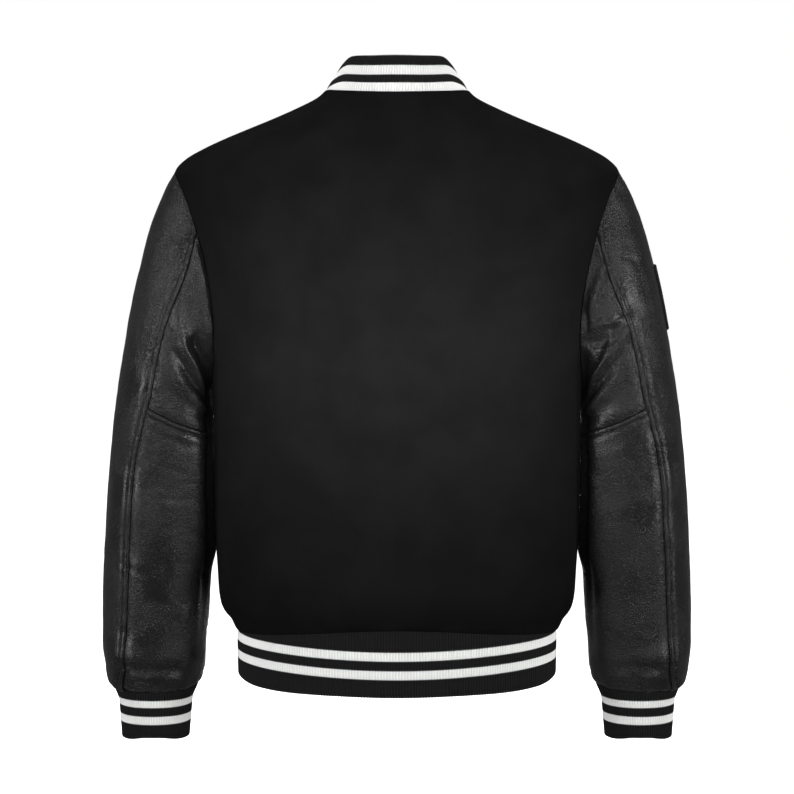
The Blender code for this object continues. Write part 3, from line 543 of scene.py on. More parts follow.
def rib_look(name, stripes, colours):
    """Rib knit with stripes: each rib is a column of V stitches, and a stripe takes whole rows."""
    look = Look(name)
    rib = look.field("rib")
    height = look.field("height")
    across = (rib.math("FRACT") - 0.5).math("ABSOLUTE")
    course = height / COURSE + across * 2.4
    row = course.math("FLOOR") * COURSE
    band = None
    for low, high in stripes:
        inside = row.math("GREATER_THAN", low - COURSE / 2) * row.math("LESS_THAN", high - COURSE / 2)
        band = inside if band is None else band + inside
    leg = (course.math("FRACT") - 0.5).math("ABSOLUTE") * 2.0
    fibres = look.noise(look.place(), 1900.0, 2.0, 0.7)
    loop = 1.0 - leg * leg
    # Painted shade: both yarns are darker in the valleys between the ribs and between the loops of each
    # stitch
    shadow = look.spread(across, 0.30, 0.5) * 0.55 + (1.0 - loop) * 0.18
    dark = look.mix(shadow, rgba(colours.rib, 1.25), rgba(colours.rib, 0.45))
    light = look.mix(shadow, rgba(colours.stripe), rgba(colours.stripe, 0.60))
    return look.finish(
        Base_Color=look.mix(band, dark, light),
        Roughness=0.92,
        Specular_IOR_Level=0.05,
        Sheen_Weight=0.01,
        Sheen_Roughness=0.5,
        Normal=look.bump(loop * 0.75 + fibres * 0.25, 0.00035),
    )


def thread_look(colours):
    """Twisted black polyester thread."""
    look = Look("thread")
    twist = look.noise(look.place(), 2600.0, 1.0)
    return look.finish(
        Base_Color=look.mix(twist, rgba(colours.thread, 0.7), rgba(colours.thread, 1.5)),
        Roughness=0.55,
        Specular_IOR_Level=0.35,
        Normal=look.bump(twist, 0.00015),
    )


def snap_look(colours):
    """Black lacquer over brass, a little worn at the rim."""
    look = Look("snap_lacquer")
    scuffs = look.noise(look.place(), 700.0, 3.0, 0.7)
    return look.finish(
        Base_Color=look.mix(look.spread(scuffs, 0.62, 0.8), rgba(colours.snap), rgba(colours.snap, 3.0)),
        Metallic=0.0,
        Roughness=look.spread(scuffs, 0.3, 0.75, 0.22, 0.4),
        Coat_Weight=0.6,
        Coat_Roughness=0.12,
        Normal=look.bump(scuffs, 0.00004),
    )


def patch_look(colours):
    """Pressed felt with a closely sewn border."""
    look = Look("patch_felt")
    place = look.place()
    felt = look.noise(place, 900.0, 3.0, 0.65)
    threads = (look.field("round") * 2400.0).math("SINE") * 0.5 + 0.5
    border = look.field("border")
    height = felt * (1.0 - border) + threads * border
    return look.finish(
        Base_Color=look.mix(height, rgba(colours.patch, 0.7), rgba(colours.patch, 1.4)),
        Roughness=look.spread(border, 0.0, 1.0, 0.95, 0.6),
        Specular_IOR_Level=0.2,
        Normal=look.bump(height, 0.0003),
    )


def floor_look(colours):
    """Plain pale floor, bright enough to blend with the white behind it."""
    look = Look("floor")
    pale = rgba(colours.floor)
    return look.finish(
        Base_Color=pale, Roughness=0.9, Specular_IOR_Level=0.1, Emission_Color=pale, Emission_Strength=1.3
    )


# ------------------------------------------------------------------------------------------------ measures


def unit(vectors):
    """Vectors brought to length one."""
    return vectors / np.maximum(np.linalg.norm(vectors, axis=-1, keepdims=True), 1e-12)


def ease(value):
    """A smooth step from 0 to 1."""
    value = np.clip(value, 0.0, 1.0)
    return value * value * (3.0 - 2.0 * value)


def columns(names, rows):
    """A table's columns by name."""
    return dict(zip(names, np.array(rows, dtype=float).T, strict=True))


def smooth(column, level):
    """A Catmull-Rom curve through a table's column, read at fractional rows."""
    ends = ([2 * column[0] - column[1]], column, [2 * column[-1] - column[-2]])
    padded = np.concatenate(ends)
    row = np.clip(np.floor(level), 0, len(column) - 2).astype(int)
    t = level - row
    before, start, stop, after = (padded[row + k] for k in range(4))
    square = (2 * before - 5 * start + 4 * stop - after) * t**2
    cube = (3 * start - before - 3 * stop + after) * t**3
    return 0.5 * (2 * start + (stop - before) * t + square + cube)


def normals(surface, level, angle):
    """Unit normals of a form, from its slopes along and round, pointing away from its inside."""
    step = 1e-3
    along = surface(level + step, angle) - surface(level - step, angle)
    around = surface(level, angle + step) - surface(level, angle - step)
    return unit(np.cross(around, along))


def walked(points, axis):
    """Distance walked along a grid's lines from their start."""
    lengths = np.linalg.norm(np.diff(points, axis=axis), axis=-1)
    return np.concatenate([np.zeros_like(np.take(lengths, [0], axis)), np.cumsum(lengths, axis)], axis)


def steps_between(length, step, start_steps, stop_steps):
    """Shares of a length, a row for each length: set steps beside both ends, and even ones between."""
    length = np.atleast_1d(length)[:, None]
    low = start_steps / length
    high = 1 - stop_steps[::-1] / length
    count = max(2, round(float((length.mean() - start_steps[-1] - stop_steps[-1]) / step)))
    share = np.linspace(0, 1, count + 1)[1:-1]
    middle = low[:, -1:] + (high[:, :1] - low[:, -1:]) * share
    return np.concatenate([low, middle, high], axis=1)


def levels_by_length(surface, angle, start, stop, step, start_steps, stop_steps):
    """Levels of a form's rows, spaced by the real length of its line at an angle."""
    fine = np.linspace(start, stop, 600)
    distance = walked(surface(fine, np.full_like(fine, angle)), 0)
    share = steps_between(distance[-1], step, start_steps, stop_steps)[0]
    return np.interp(share * distance[-1], distance, fine)


def angles_by_length(surface, levels, start, stop, step, start_steps, stop_steps):
    """Angles of a form's columns at each row, spaced by the real width between two edges."""
    rough = start[:, None] + (stop - start)[:, None] * np.linspace(0, 1, 65)
    distance = walked(surface(np.repeat(levels[:, None], rough.shape[1], axis=1), rough), 1)
    share = steps_between(distance[:, -1], step, start_steps, stop_steps)
    place = share * distance[:, -1:]
    index = np.clip((distance[:, None, :] <= place[:, :, None]).sum(axis=2) - 1, 0, rough.shape[1] - 2)
    low = np.take_along_axis(distance, index, 1)
    high = np.take_along_axis(distance, index + 1, 1)
    part = np.clip((place - low) / np.maximum(high - low, 1e-9), 0, 1)
    first = np.take_along_axis(rough, index, 1)
    return first + (np.take_along_axis(rough, index + 1, 1) - first) * part


# ---------------------------------------------------------------------------------------------- body form


def ring_points(ring, angle):
    """Points of a rounded ring at each angle from +X: a superellipse in polar form, lowered at back and
    front, and drawn out to a soft point at each side."""
    behind = np.sin(angle) >= 0
    depth = np.where(behind, ring["back"], ring["front"])
    drop = np.where(behind, ring["back_drop"], ring["front_drop"])
    power = ring["square"]
    across = np.abs(np.cos(angle) / ring["half_width"]) ** power
    through = np.abs(np.sin(angle) / depth) ** power
    side_point = ring["point"] * np.exp(-((np.sin(angle) / math.sin(POINT_SPREAD)) ** 2))
    radius = (across + through) ** (-1.0 / power) + side_point
    height = ring["height"] - drop * np.abs(np.sin(angle)) ** DROP_POWER
    return np.stack(np.broadcast_arrays(radius * np.cos(angle), radius * np.sin(angle), height), axis=-1)


def ring_at(rings, level):
    """The measures of a form's ring at a level, by name."""
    return {name: smooth(column, level) for name, column in rings.items()}


BODY = columns(RING_COLUMNS, BODY_RINGS)
COLLAR_TOP = dict(zip(RING_COLUMNS, COLLAR_TOP_RING))
HEM_BOTTOM = dict(zip(RING_COLUMNS, HEM_BOTTOM_RING))


def body(level, angle):
    """The body form, without its folds."""
    level, angle = np.broadcast_arrays(np.asarray(level, float), np.asarray(angle, float))
    return ring_points(ring_at(BODY, level), angle)


def body_level(height):
    """The level at which the sides of the body form have a height."""
    return np.interp(height, BODY["height"], np.arange(NECK_LEVEL + 1))


def body_folds(points, level):
    """How far the folds lift the body's surface at each point, none of it at the hem seam."""
    lift = np.zeros(points.shape[:-1])
    angle = np.degrees(np.arctan2(points[..., 1], points[..., 0])) % 360
    height = points[..., 2]
    for row in BODY_FOLDS:
        fold = dict(zip(BODY_FOLD_COLUMNS, row))
        rise = height - fold["height"]
        off = (angle - fold["angle"] + 180) % 360 - 180
        across = (off - fold["lean"] * rise) / fold["half_width"]
        lift += fold["rise"] * np.exp(-(across**2) - (rise / fold["half_length"]) ** 2)
    return lift * ease(level / 1.5)


def armhole(turn, front=False):
    """Level and angle of the armhole's edge: turn is 0 at the shoulder point and pi at the underarm."""
    top, bottom = BODY["height"][SHOULDER_LEVEL], BODY["height"][UNDERARM_LEVEL]
    height = (top + bottom) / 2 + (top - bottom) / 2 * np.cos(turn)
    reach = ARMHOLE_FRONT if front else ARMHOLE_BACK
    return body_level(height), reach * (np.sin(turn) - ARMHOLE_SKEW * np.sin(2 * turn) / 2)


def centre_front_angle(levels, offset):
    """Angles at which the body form passes a place beside the centre front, offset along X."""
    return -math.pi / 2 + np.arctan2(offset, smooth(BODY["front"], levels))


# -------------------------------------------------------------------------------------------- sleeve form

SLEEVE = columns(SLEEVE_COLUMNS, SLEEVE_RINGS)


def oval(ring, angle):
    """Points of a sleeve ring: an oval between its outer and inner points, as deep along Y as it says."""
    cosine, sine, power = np.cos(angle), np.sin(angle), ring["square"]
    radius = (np.abs(cosine) ** power + np.abs(sine) ** power) ** (-1.0 / power)
    middle_x, half_x = (ring["outer_x"] + ring["inner_x"]) / 2, (ring["outer_x"] - ring["inner_x"]) / 2
    middle_z, half_z = (ring["outer_z"] + ring["inner_z"]) / 2, (ring["outer_z"] - ring["inner_z"]) / 2
    parts = (
        middle_x + half_x * radius * cosine,
        ring["middle"] + ring["depth"] * radius * sine,
        middle_z + half_z * radius * cosine,
    )
    return np.stack(np.broadcast_arrays(*parts), axis=-1)


def armhole_edge(angle):
    """Level and angle on the body form of the armhole's edge, by the sleeve's angle."""
    turned = (angle + math.pi) % (2 * math.pi) - math.pi
    level, back_angle = armhole(np.abs(turned))
    return level, np.where(turned >= 0, back_angle, -armhole(np.abs(turned), front=True)[1])


def armhole_points(angle):
    """The armhole's edge, a little off the body form towards the underarm."""
    edge = armhole_edge(angle)
    away = normals(body, *edge)
    return body(*edge) + away * (SLEEVE_CLEARANCE * (1 - np.cos(angle)) / 2)[..., None]


def sleeve(level, angle):
    """The wearer's left sleeve form: ovals that set out from the armhole's edge."""
    level, angle = np.broadcast_arrays(np.asarray(level, float), np.asarray(angle, float))
    first = {name: column[0] for name, column in SLEEVE.items()}
    share = np.clip(1 - level / ARMHOLE_BLEND_LEVEL, 0.0, 1.1) ** 2
    moved = armhole_points(angle) - oval(first, angle)
    return oval(ring_at(SLEEVE, level), angle) + share[..., None] * moved


def sleeve_normals(level, angle):
    """Unit normals of the sleeve form, whose levels run downwards."""
    return -normals(sleeve, level, angle)


def sleeve_heading(angle):
    """Directions in which the sleeve leaves the armhole."""
    return unit(sleeve(np.full_like(angle, 0.25), angle) - sleeve(np.zeros_like(angle), angle))


def sleeve_folds(level, angle):
    """How far the folds lift the sleeve's surface."""
    lift = np.zeros(np.broadcast(level, angle).shape)
    degrees = np.degrees(angle) % 360
    for row in SLEEVE_FOLDS:
        fold = dict(zip(SLEEVE_FOLD_COLUMNS, row))
        off = degrees - fold["angle"]
        across = (level - fold["level"] - fold["slope"] * np.radians(off)) / fold["half_width"]
        lift += fold["rise"] * np.exp(-(across**2) - (off / fold["half_length"]) ** 2)
    ends = ease(level / 1.2) * ease((CUFF_LEVEL - level) / 1.5)
    return lift * ends


def cuff_end(angle):
    """Level at which the leather ends: its end dips in the middle of the back and front."""
    inner, outer = np.clip(-np.cos(angle), 0, 1), np.clip(np.cos(angle), 0, 1)
    return CUFF_LEVEL - INNER_CUFF_RISE * inner**2 - OUTER_CUFF_RISE * outer**2


def pressed(points, angle):
    """Sleeve points with its inner side flattened against the body's side, where the two nearly touch."""
    across, height = points[..., 1], points[..., 2]
    level = body_level(height)
    ring = ring_at(BODY, level)
    depth = np.where(across >= 0, ring["back"], ring["front"])
    share = np.clip(1 - np.abs(across / depth) ** ring["square"], 0, 1)
    side = ring["half_width"] * share ** (1 / ring["square"]) + body_folds(points, level)
    near = ease((-np.cos(angle) - 0.35) / 0.5) * ease((height - PRESS_END) / 0.04)
    moved = points.copy()
    moved[..., 0] -= near * np.clip(points[..., 0] - side - PRESS_GAP, 0, PRESS_REACH)
    return moved


def sleeve_seams(level):
    """Angles of the front and back seams, the front one below zero."""
    front = np.radians(smooth(SLEEVE["front_seam"], level)) - 2 * math.pi
    return front, np.radians(smooth(SLEEVE["back_seam"], level))


def wrinkles(side):
    """Fine wrinkles of one sleeve: short shallow troughs at random places, most of them lying level."""
    random = np.random.default_rng(WRINKLE_SEED + side)
    face = random.choice([1.0, -1.0], WRINKLES)
    high = random.uniform(*WRINKLE_HEIGHTS, WRINKLES)
    outside = np.interp(-high, -SLEEVE["outer_z"], SLEEVE["outer_x"])
    middle = 0.205 + (outside - 0.215) * random.uniform(0.0, 1.0, WRINKLES)
    lean = np.radians(random.normal(*WRINKLE_LEAN, WRINKLES))
    half = random.uniform(*WRINKLE_LENGTHS, WRINKLES)
    rise = -random.uniform(*WRINKLE_DEPTHS, WRINKLES)
    width = random.uniform(*WRINKLE_WIDTHS, WRINKLES)
    run, climb = half * np.cos(lean), half * np.sin(lean)
    everywhere = np.zeros(WRINKLES)
    ends = (middle - run, high - climb, middle + run, high + climb)
    return np.stack([everywhere, face, *ends, width, rise], axis=1)


def crease_lift(points, side):
    """How far creases lift a sleeve: each is a soft line between two places, bent a little and fading at its
    ends. Its height is a hump across the line."""
    lift = np.zeros(points.shape[:-1])
    behind = points[..., 1] > 0
    for row in (*CREASES, *wrinkles(side)):
        crease = dict(zip(CREASE_COLUMNS, row))
        if crease["side"] not in (0, side):
            continue
        run, climb = crease["x_end"] - crease["x"], crease["z_end"] - crease["z"]
        length = math.hypot(run, climb)
        off_x, off_z = points[..., 0] - crease["x"], points[..., 2] - crease["z"]
        share = (off_x * run + off_z * climb) / length**2
        aside = (off_x * climb - off_z * run) / length
        bent = aside / crease["half_width"] + 0.35 * np.sin(share * 2.6 + crease["z"] * 90)
        fade = np.exp(-((np.abs(share - 0.5) / 0.55) ** 4))
        height = crease["rise"] * np.exp(-(bent**2)) * fade
        lift += np.where(behind == (crease["face"] > 0), height, 0.0)
    return lift


# ------------------------------------------------------------------------------------------------- relief


def lumps(points, size, seed):
    """Smooth random heights from -1 to 1: a lattice of random numbers, eased between its corners."""
    table = np.random.default_rng(seed).uniform(-1.0, 1.0, (LUMP_LATTICE,) * 3)
    cell = np.floor(points / size).astype(int)
    share = ease(points / size - cell)
    total = np.zeros(points.shape[:-1])
    for corner in np.ndindex(2, 2, 2):
        index = (cell + corner) % LUMP_LATTICE
        weight = np.prod(np.where(corner, share, 1 - share), axis=-1)
        total += weight * table[index[..., 0], index[..., 1], index[..., 2]]
    return total


def waver(distance, length, seed):
    """Smooth random heights from -1 to 1 along a line."""
    return lumps(np.stack([distance, 0 * distance, 0 * distance], axis=-1), length, seed)


def beside(points, line):
    """Distance of each point from a line of points, square to it, and how far along the line that is."""
    flat = points.reshape(-1, 3)
    square = (flat**2).sum(axis=1)[:, None] + (line**2).sum(axis=1) - 2 * flat @ line.T
    near = square.argmin(axis=1)
    tangent = unit(np.gradient(line, axis=0))[near]
    offset = flat - line[near]
    step = np.clip((offset * tangent).sum(axis=1), -LEATHER_STEP, LEATHER_STEP)
    away = np.linalg.norm(offset - step[:, None] * tangent, axis=1)
    shape = points.shape[:-1]
    return away.reshape(shape), (walked(line, 0)[near] + step).reshape(shape)


def edge_lines(points):
    """The first and last row and the first and last column of a grid."""
    return points[0], points[-1], points[:, 0], points[:, -1]


def from_first(grids):
    """Grids turned so that their rows run from the first column."""
    return [grid.swapaxes(0, 1) for grid in grids]


def from_last(grids):
    """Grids turned so that their rows run from the last column."""
    return [grid.swapaxes(0, 1)[::-1] for grid in grids]


def turned_in(distance, width, depth):
    """How far cloth turns in beside its edge: a quarter of an ellipse."""
    share = np.clip(1 - distance / width, 0, 1)
    return -depth * (1 - np.sqrt(1 - share**2))


def hump(distance, middle, half_width):
    """A hump of height 1."""
    return np.exp(-(((distance - middle) / half_width) ** 2))


def sewn_down(distance, along, seed):
    """Leather beside a topstitched seam: a puffed band, the stitches' line pulled in, and a swell beyond."""
    strength = 1 + 0.4 * waver(along, 0.035, seed)
    band = np.sin(math.pi * np.clip(distance / STITCH_OFFSET, 0, 1)) ** 0.8
    line = hump(distance, STITCH_OFFSET, 0.0010) * (0.8 + 0.2 * np.cos(2 * math.pi * along / STITCH_PITCH))
    swell = hump(distance, 0.0115, 0.0048) * strength
    pucker = waver(along, 0.007, seed + 1) * hump(distance, STITCH_OFFSET, 0.006)
    lift = BAND_RISE * band * strength - STITCH_DIP * line + SWELL_RISE * swell + 0.0002 * pucker
    return lift + turned_in(distance, 0.0014, 0.0009)


def sewn_plain(distance, along, seed):
    """Leather beside a seam with no topstitching: it sinks to the seam over a few millimetres."""
    swell = hump(distance, 0.0085, 0.005) * (1 + 0.5 * waver(along, 0.03, seed))
    return 0.0005 * swell - 0.0007 * hump(distance, 0, 0.0035) + turned_in(distance, 0.0014, 0.0009)


def sewn_to_wool(distance, along, seed):
    """Leather beside the armhole: it sinks into the seam and swells a little beyond it, unevenly."""
    swell = hump(distance, 0.010, 0.006) * (1 + 0.6 * waver(along, 0.03, seed))
    return 0.0004 * swell + turned_in(distance, 0.0008, 0.0003)


def sewn_to_rib(distance, along, seed):
    """Leather beside the cuff: gathered a little, in short puckers that run up from the seam."""
    pucker = waver(along, 0.011, seed) * hump(distance, 0.004, 0.014)
    return 0.0009 * pucker + 0.0006 * hump(distance, 0.006, 0.005) + turned_in(distance, 0.003, 0.0016)


def wool_seam(distance, along, seed):
    """Wool beside a pressed seam."""
    return turned_in(distance, 0.0007, 0.0002)


def wool_at_rib(distance, along, seed):
    """Wool beside the rib that draws it in: soft puckers that run up from the seam."""
    pucker = waver(along, 0.020, seed) * hump(distance, 0.008, 0.022)
    return 0.0009 * pucker + 0.0007 * hump(distance, 0.008, 0.006) + turned_in(distance, 0.0028, 0.0015)


def wool_edge(distance, along, seed):
    """Wool at a folded edge, with its topstitching."""
    line = hump(distance, STITCH_OFFSET, 0.0010)
    return turned_in(distance, 0.0022, 0.0014) - 0.0005 * line


def stitch_line(base, outer, out):
    """The cloth's points and normals along the line of topstitching inside the first row of its grid."""
    distance = walked(base, 0)
    column = np.arange(base.shape[1])
    row = np.clip((distance < STITCH_OFFSET).sum(axis=0) - 1, 0, len(base) - 2)
    low, high = distance[row, column], distance[row + 1, column]
    share = ((STITCH_OFFSET - low) / np.maximum(high - low, 1e-9))[:, None]
    return [grid[row, column] * (1 - share) + grid[row + 1, column] * share for grid in (outer, out)]


# ------------------------------------------------------------------------------------------------- pieces


def corners(numbers):
    """Faces between the rows and columns of a table of point numbers, as an array of fours."""
    parts = (numbers[..., :-1, :-1], numbers[..., 1:, :-1], numbers[..., 1:, 1:], numbers[..., :-1, 1:])
    return np.stack(parts, axis=-1).reshape(-1, 4)


def add_piece(name, node, points, faces, look, side=LEFT, fields=None):
    """Make an object from points and faces, which point outwards, and mirror it for the wearer's right.
    Fields are numbers stored on its first points, and its other points have 0."""
    if side == RIGHT:
        points = points * [-1.0, 1.0, 1.0]
        faces = [face[::-1] for face in faces]
    mesh = bpy.data.meshes.new(name)
    mesh.from_pydata(points.tolist(), [], faces)
    for key, values in (fields or {}).items():
        full = np.zeros(len(points), np.float32)
        full[: values.size] = values.ravel()
        mesh.attributes.new(key, "FLOAT", "POINT").data.foreach_set("value", full)
    mesh.shade_smooth()
    mesh.set_sharp_from_angle(angle=SHARP_ANGLE)
    mesh.materials.append(look)
    thing = bpy.data.objects.new(name, mesh)
    bpy.context.scene.collection.objects.link(thing)
    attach(thing, BODY_NAME)
    if node:
        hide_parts(node)
    return thing


def faced_out(faces, square, inwards):
    """Faces, turned over where the four corners of one of them run the wrong way round."""
    a, b, c, d = square
    wrong = np.dot(np.cross(c - a, d - b), inwards) > 0
    return [face[::-1] for face in faces] if wrong else faces


def kept(count):
    """Numbers of the rows that the inside keeps, the last always among them."""
    return np.append(np.arange(0, count - 1, INSIDE_STRIDE), count - 1)


def shell(name, node, outer, inwards, thickness, look, side=LEFT, fields=None):
    """A panel of cloth: a grid of outer points, a coarser grid inside it, and a rim all round."""
    rows, across = kept(outer.shape[0]), kept(outer.shape[1])
    inner = (outer + inwards * thickness)[rows][:, across]
    front = np.arange(outer[..., 0].size).reshape(outer.shape[:2])
    back = np.arange(inner[..., 0].size).reshape(inner.shape[:2]) + front.size
    faces = [*corners(front).tolist(), *corners(back)[:, ::-1].tolist()]
    for edge, hidden, marks in (
        (front[0], back[0], across),
        (front[-1, ::-1], back[-1, ::-1], front.shape[1] - 1 - across[::-1]),
        (front[::-1, 0], back[::-1, 0], front.shape[0] - 1 - rows[::-1]),
        (front[:, -1], back[:, -1], rows),
    ):
        for k, (start, stop) in enumerate(zip(marks[:-1], marks[1:])):
            faces.append([*edge[start : stop + 1].tolist(), int(hidden[k + 1]), int(hidden[k])])
    points = np.concatenate([outer.reshape(-1, 3), inner.reshape(-1, 3)])
    row, column = outer.shape[0] // 2, outer.shape[1] // 2
    middle = corners(front[row : row + 2, column : column + 2])[0]
    faces = faced_out(faces, points[middle], inwards[row, column])
    return add_piece(name, node, points, faces, look, side, fields)


def draw_in(points, distance):
    """Move the border of a grid of points inwards along the surface, at right angles to each edge."""
    moved = points.copy()
    for grid, made in ((points, moved), (points.swapaxes(0, 1), moved.swapaxes(0, 1))):
        for edge, inner in ((0, 2), (-1, -3)):
            tangent = unit(np.gradient(grid[edge], axis=0))
            inwards = grid[inner] - grid[edge]
            inwards = unit(inwards - np.sum(inwards * tangent, axis=-1, keepdims=True) * tangent)
            made[edge] += distance * inwards
    return moved


def level_out(directions):
    """Directions turned level, so that the cloth's cut end lies flat."""
    flat = directions.copy()
    flat[..., 2] = 0.0
    return unit(flat)


def turned_to(inwards, edge_inwards, distance):
    """Inward directions that turn to those of an edge within a few millimetres of it."""
    share = ease(distance / TURN_WIDTH)[..., None]
    return unit(inwards * share + edge_inwards * (1 - share))


def add_tubes(name, node, tubes, look, side=LEFT):
    """Make a piece of tubes, each a row of rings of points with a flat cap at both ends."""
    numbers = np.arange(tubes[..., 0].size).reshape(tubes.shape[:-1])
    looped = np.concatenate([numbers, numbers[..., :1]], axis=-1)
    caps = [*numbers[:, 0, ::-1].tolist(), *numbers[:, -1].tolist()]
    faces = [*corners(looped)[:, ::-1].tolist(), *caps]
    return add_piece(name, node, tubes.reshape(-1, 3), faces, look, side)


def stitch_points(line, out, sizes):
    """Stitches along a line: tubes that rise in a low arch out of the cloth and dive back into it."""
    distance = walked(line, 0)
    count = int(distance[-1] / STITCH_PITCH) - 1
    rise = np.linspace(0, 1, STITCH_RINGS)
    at = (np.arange(count)[:, None] + 0.6) * STITCH_PITCH + (rise - 0.5) * sizes.stitch_length * 0.82
    grids = (line, unit(out))
    centre, normal = (
        np.stack([np.interp(at, distance, column) for column in grid.T], axis=-1) for grid in grids
    )
    arch = np.sin(math.pi * rise)
    centre = centre + normal * ((0.85 * arch - 0.55) * sizes.thread)[:, None]
    along = unit(np.gradient(centre, axis=1))
    aside = unit(np.cross(along, normal))
    above = np.cross(aside, along)
    turn = np.linspace(0, 2 * math.pi, STITCH_SIDES, endpoint=False)
    radius = (0.5 * sizes.thread * (0.6 + 0.4 * arch))[:, None, None]
    circle = np.cos(turn)[:, None] * aside[:, :, None] + np.sin(turn)[:, None] * above[:, :, None]
    return centre[:, :, None] + radius * circle


def add_stitches(name, lines, look, sizes, side=LEFT):
    """Topstitching along several lines, each given with the normals of its cloth."""
    tubes = np.concatenate([stitch_points(line, out, sizes) for line, out in lines])
    return add_tubes(name, None, tubes, look, side)


def sheet(grid):
    """Measure a panel of cloth as if cut: its longest line across and the mean of its lines along, laid out
    straight, and the area of its grid. The measures are not kept."""
    wide, tall = walked(grid, 1)[:, -1].max(), walked(grid, 0)[-1].mean()
    sloping, other = grid[1:, 1:] - grid[:-1, :-1], grid[1:, :-1] - grid[:-1, 1:]
    area = np.linalg.norm(np.cross(sloping, other), axis=-1).sum() / 2
    flat, area = (round(float(wide), 4), round(float(tall), 4)), round(float(area), 5)


# -------------------------------------------------------------------------------------------- wool panels


def body_rows():
    """Levels of the body's rows, how far the armhole's edge reaches to the back and front at each, and the
    turn round the armhole, which is pi below it and 0 above it."""
    below = levels_by_length(body, 0.0, 0, UNDERARM_LEVEL, WOOL_STEP, SEAM_STEPS, SEAM_STEPS[:1])[:-1]
    above = levels_by_length(body, 0.0, SHOULDER_LEVEL, NECK_LEVEL, WOOL_STEP, SEAM_STEPS[:1], SEAM_STEPS)[1:]
    fine = np.linspace(math.pi, 0, 600)
    distance = walked(body(*armhole(fine)), 0)
    turns = np.interp(np.linspace(0, distance[-1], round(distance[-1] / WOOL_STEP) + 1), distance, fine)
    levels, back_edge = armhole(turns)
    front_edge = armhole(turns, front=True)[1]
    levels = np.concatenate([below, levels, above])
    turns = np.concatenate([np.full(len(below), math.pi), turns, np.zeros(len(above))])
    pad = (len(below), len(above))
    return levels, np.pad(back_edge, pad), np.pad(front_edge, pad), turns


def armhole_inwards(out, at, angle, turn):
    """Inward directions of the wool's edge at the armhole: halfway between both walls where they bend away
    from each other outside, and its own elsewhere."""
    flip = np.where(np.cos(angle) > 0, 1.0, -1.0)[:, None] * [1.0, 0.0, 0.0] + [0.0, 1.0, 1.0]
    other = sleeve_normals(np.zeros_like(turn), turn) * flip
    ridge = np.sum(out * sleeve_heading(turn) * flip, axis=-1) < 0
    ridge &= (at >= UNDERARM_LEVEL) & (at <= SHOULDER_LEVEL)
    return np.where(ridge[:, None], -unit(out + other), -out)


def wool_panel(name, node, levels, start, stop, turns, edges, look, under=False):
    """A panel of the body between two columns of angles. Edges are the reliefs of its hem, neck, first and
    last edges, and turns are those round the armhole at the last two. Under is for the side lapped over.

    A point is the body form at its level and angle, moved out by its folds and its seams' relief.
    """
    angles = angles_by_length(body, levels, start, stop, WOOL_STEP, SEAM_STEPS, SEAM_STEPS)
    at = np.repeat(levels[:, None], angles.shape[1], axis=1)
    points = body(at, angles)
    out = normals(body, at, angles)
    lift = body_folds(points, at)
    inwards = -out
    for k, (line, relief) in enumerate(zip(edge_lines(points), edges)):
        distance, along = beside(points, line)
        lift = lift + relief(distance, along, 40 + k)
        if k == 0:
            inwards = turned_to(inwards, level_out(inwards), distance)
            level_share = 1 - ease(distance / TURN_WIDTH)
        if k > 1 and relief is wool_seam:
            column = 0 if k == 2 else -1
            edge = armhole_inwards(out[:, column], levels, angles[:, column], turns[k - 2])
            inwards = turned_to(inwards, edge[:, None], distance)
    calm = ease(np.abs(np.sin(angles)) / 0.4)
    lift = lift + calm * sum(rise * lumps(points, size, seed) for rise, size, seed in WOOL_LUMPS)
    outer = points + out * lift[..., None]
    if under:
        outer = outer - out * lap_depth(points)[..., None]
    outer[..., 2] += (points - outer)[..., 2] * level_share
    outer = draw_in(outer, SEAM_GAP / 2)
    return shell(name, node, outer, inwards, WOOL_WALL, look), (points, outer, out)


def lap_depth(points):
    """How far the wearer's right side lies inwards beside the centre front, where the left laps over it."""
    return LAP_DEPTH * ease((points[..., 0] + LAP_SLOPE_END) / (LAP_SLOPE_END - LAP_COVERED))


# ----------------------------------------------------------------------------------------- leather sleeves

# Blocks of a sleeve: its name, the levels between which it lies, the angle at which its rows are spaced, and
# the reliefs of its top, bottom, first and last edges
SLEEVE_BLOCKS = {
    "top": (0, CUFF_LEVEL, 0.2, (sewn_to_wool, sewn_to_rib, sewn_down, sewn_down)),
    "under_upper": (0, ELBOW_LEVEL, 1.7, (sewn_to_wool, sewn_plain, sewn_plain, sewn_plain)),
    "under_lower": (ELBOW_LEVEL, CUFF_LEVEL, 1.9, (sewn_down, sewn_to_rib, sewn_plain, sewn_plain)),
}


def sleeve_head_inwards(angles, out):
    """Inward directions of the leather's edge at the armhole, halfway between both walls where they meet."""
    body_out = normals(body, *armhole_edge(angles))
    ridge = np.sum(body_out * sleeve_heading(angles), axis=-1, keepdims=True) < 0
    return np.where(ridge, -unit(out + body_out), -out)


def leather_lift(points, level, angle, side):
    """How far the leather stands off its form: folds, creases by place, and soft lumps all over. The creases
    and lumps lie down under the patch."""
    loose = crease_lift(points, side)
    for rise, size, seed in LEATHER_LUMPS:
        loose += rise * lumps(points, size, seed + side)
    if side == RIGHT:
        aside = np.abs(points[..., 1] - PATCH_Y) / (PATCH_WIDE / 2)
        above = np.abs(points[..., 2] - PATCH_HEIGHT) / (PATCH_TALL / 2)
        outside = np.cos(angle) > 0.4
        loose = np.where(outside, loose * ease((np.maximum(aside, above) - 1.05) / 0.35), loose)
    ends = ease(level / 0.25) * ease((CUFF_LEVEL - level) / 0.8)
    return sleeve_folds(level, angle) + loose * (0.25 + 0.75 * ends)


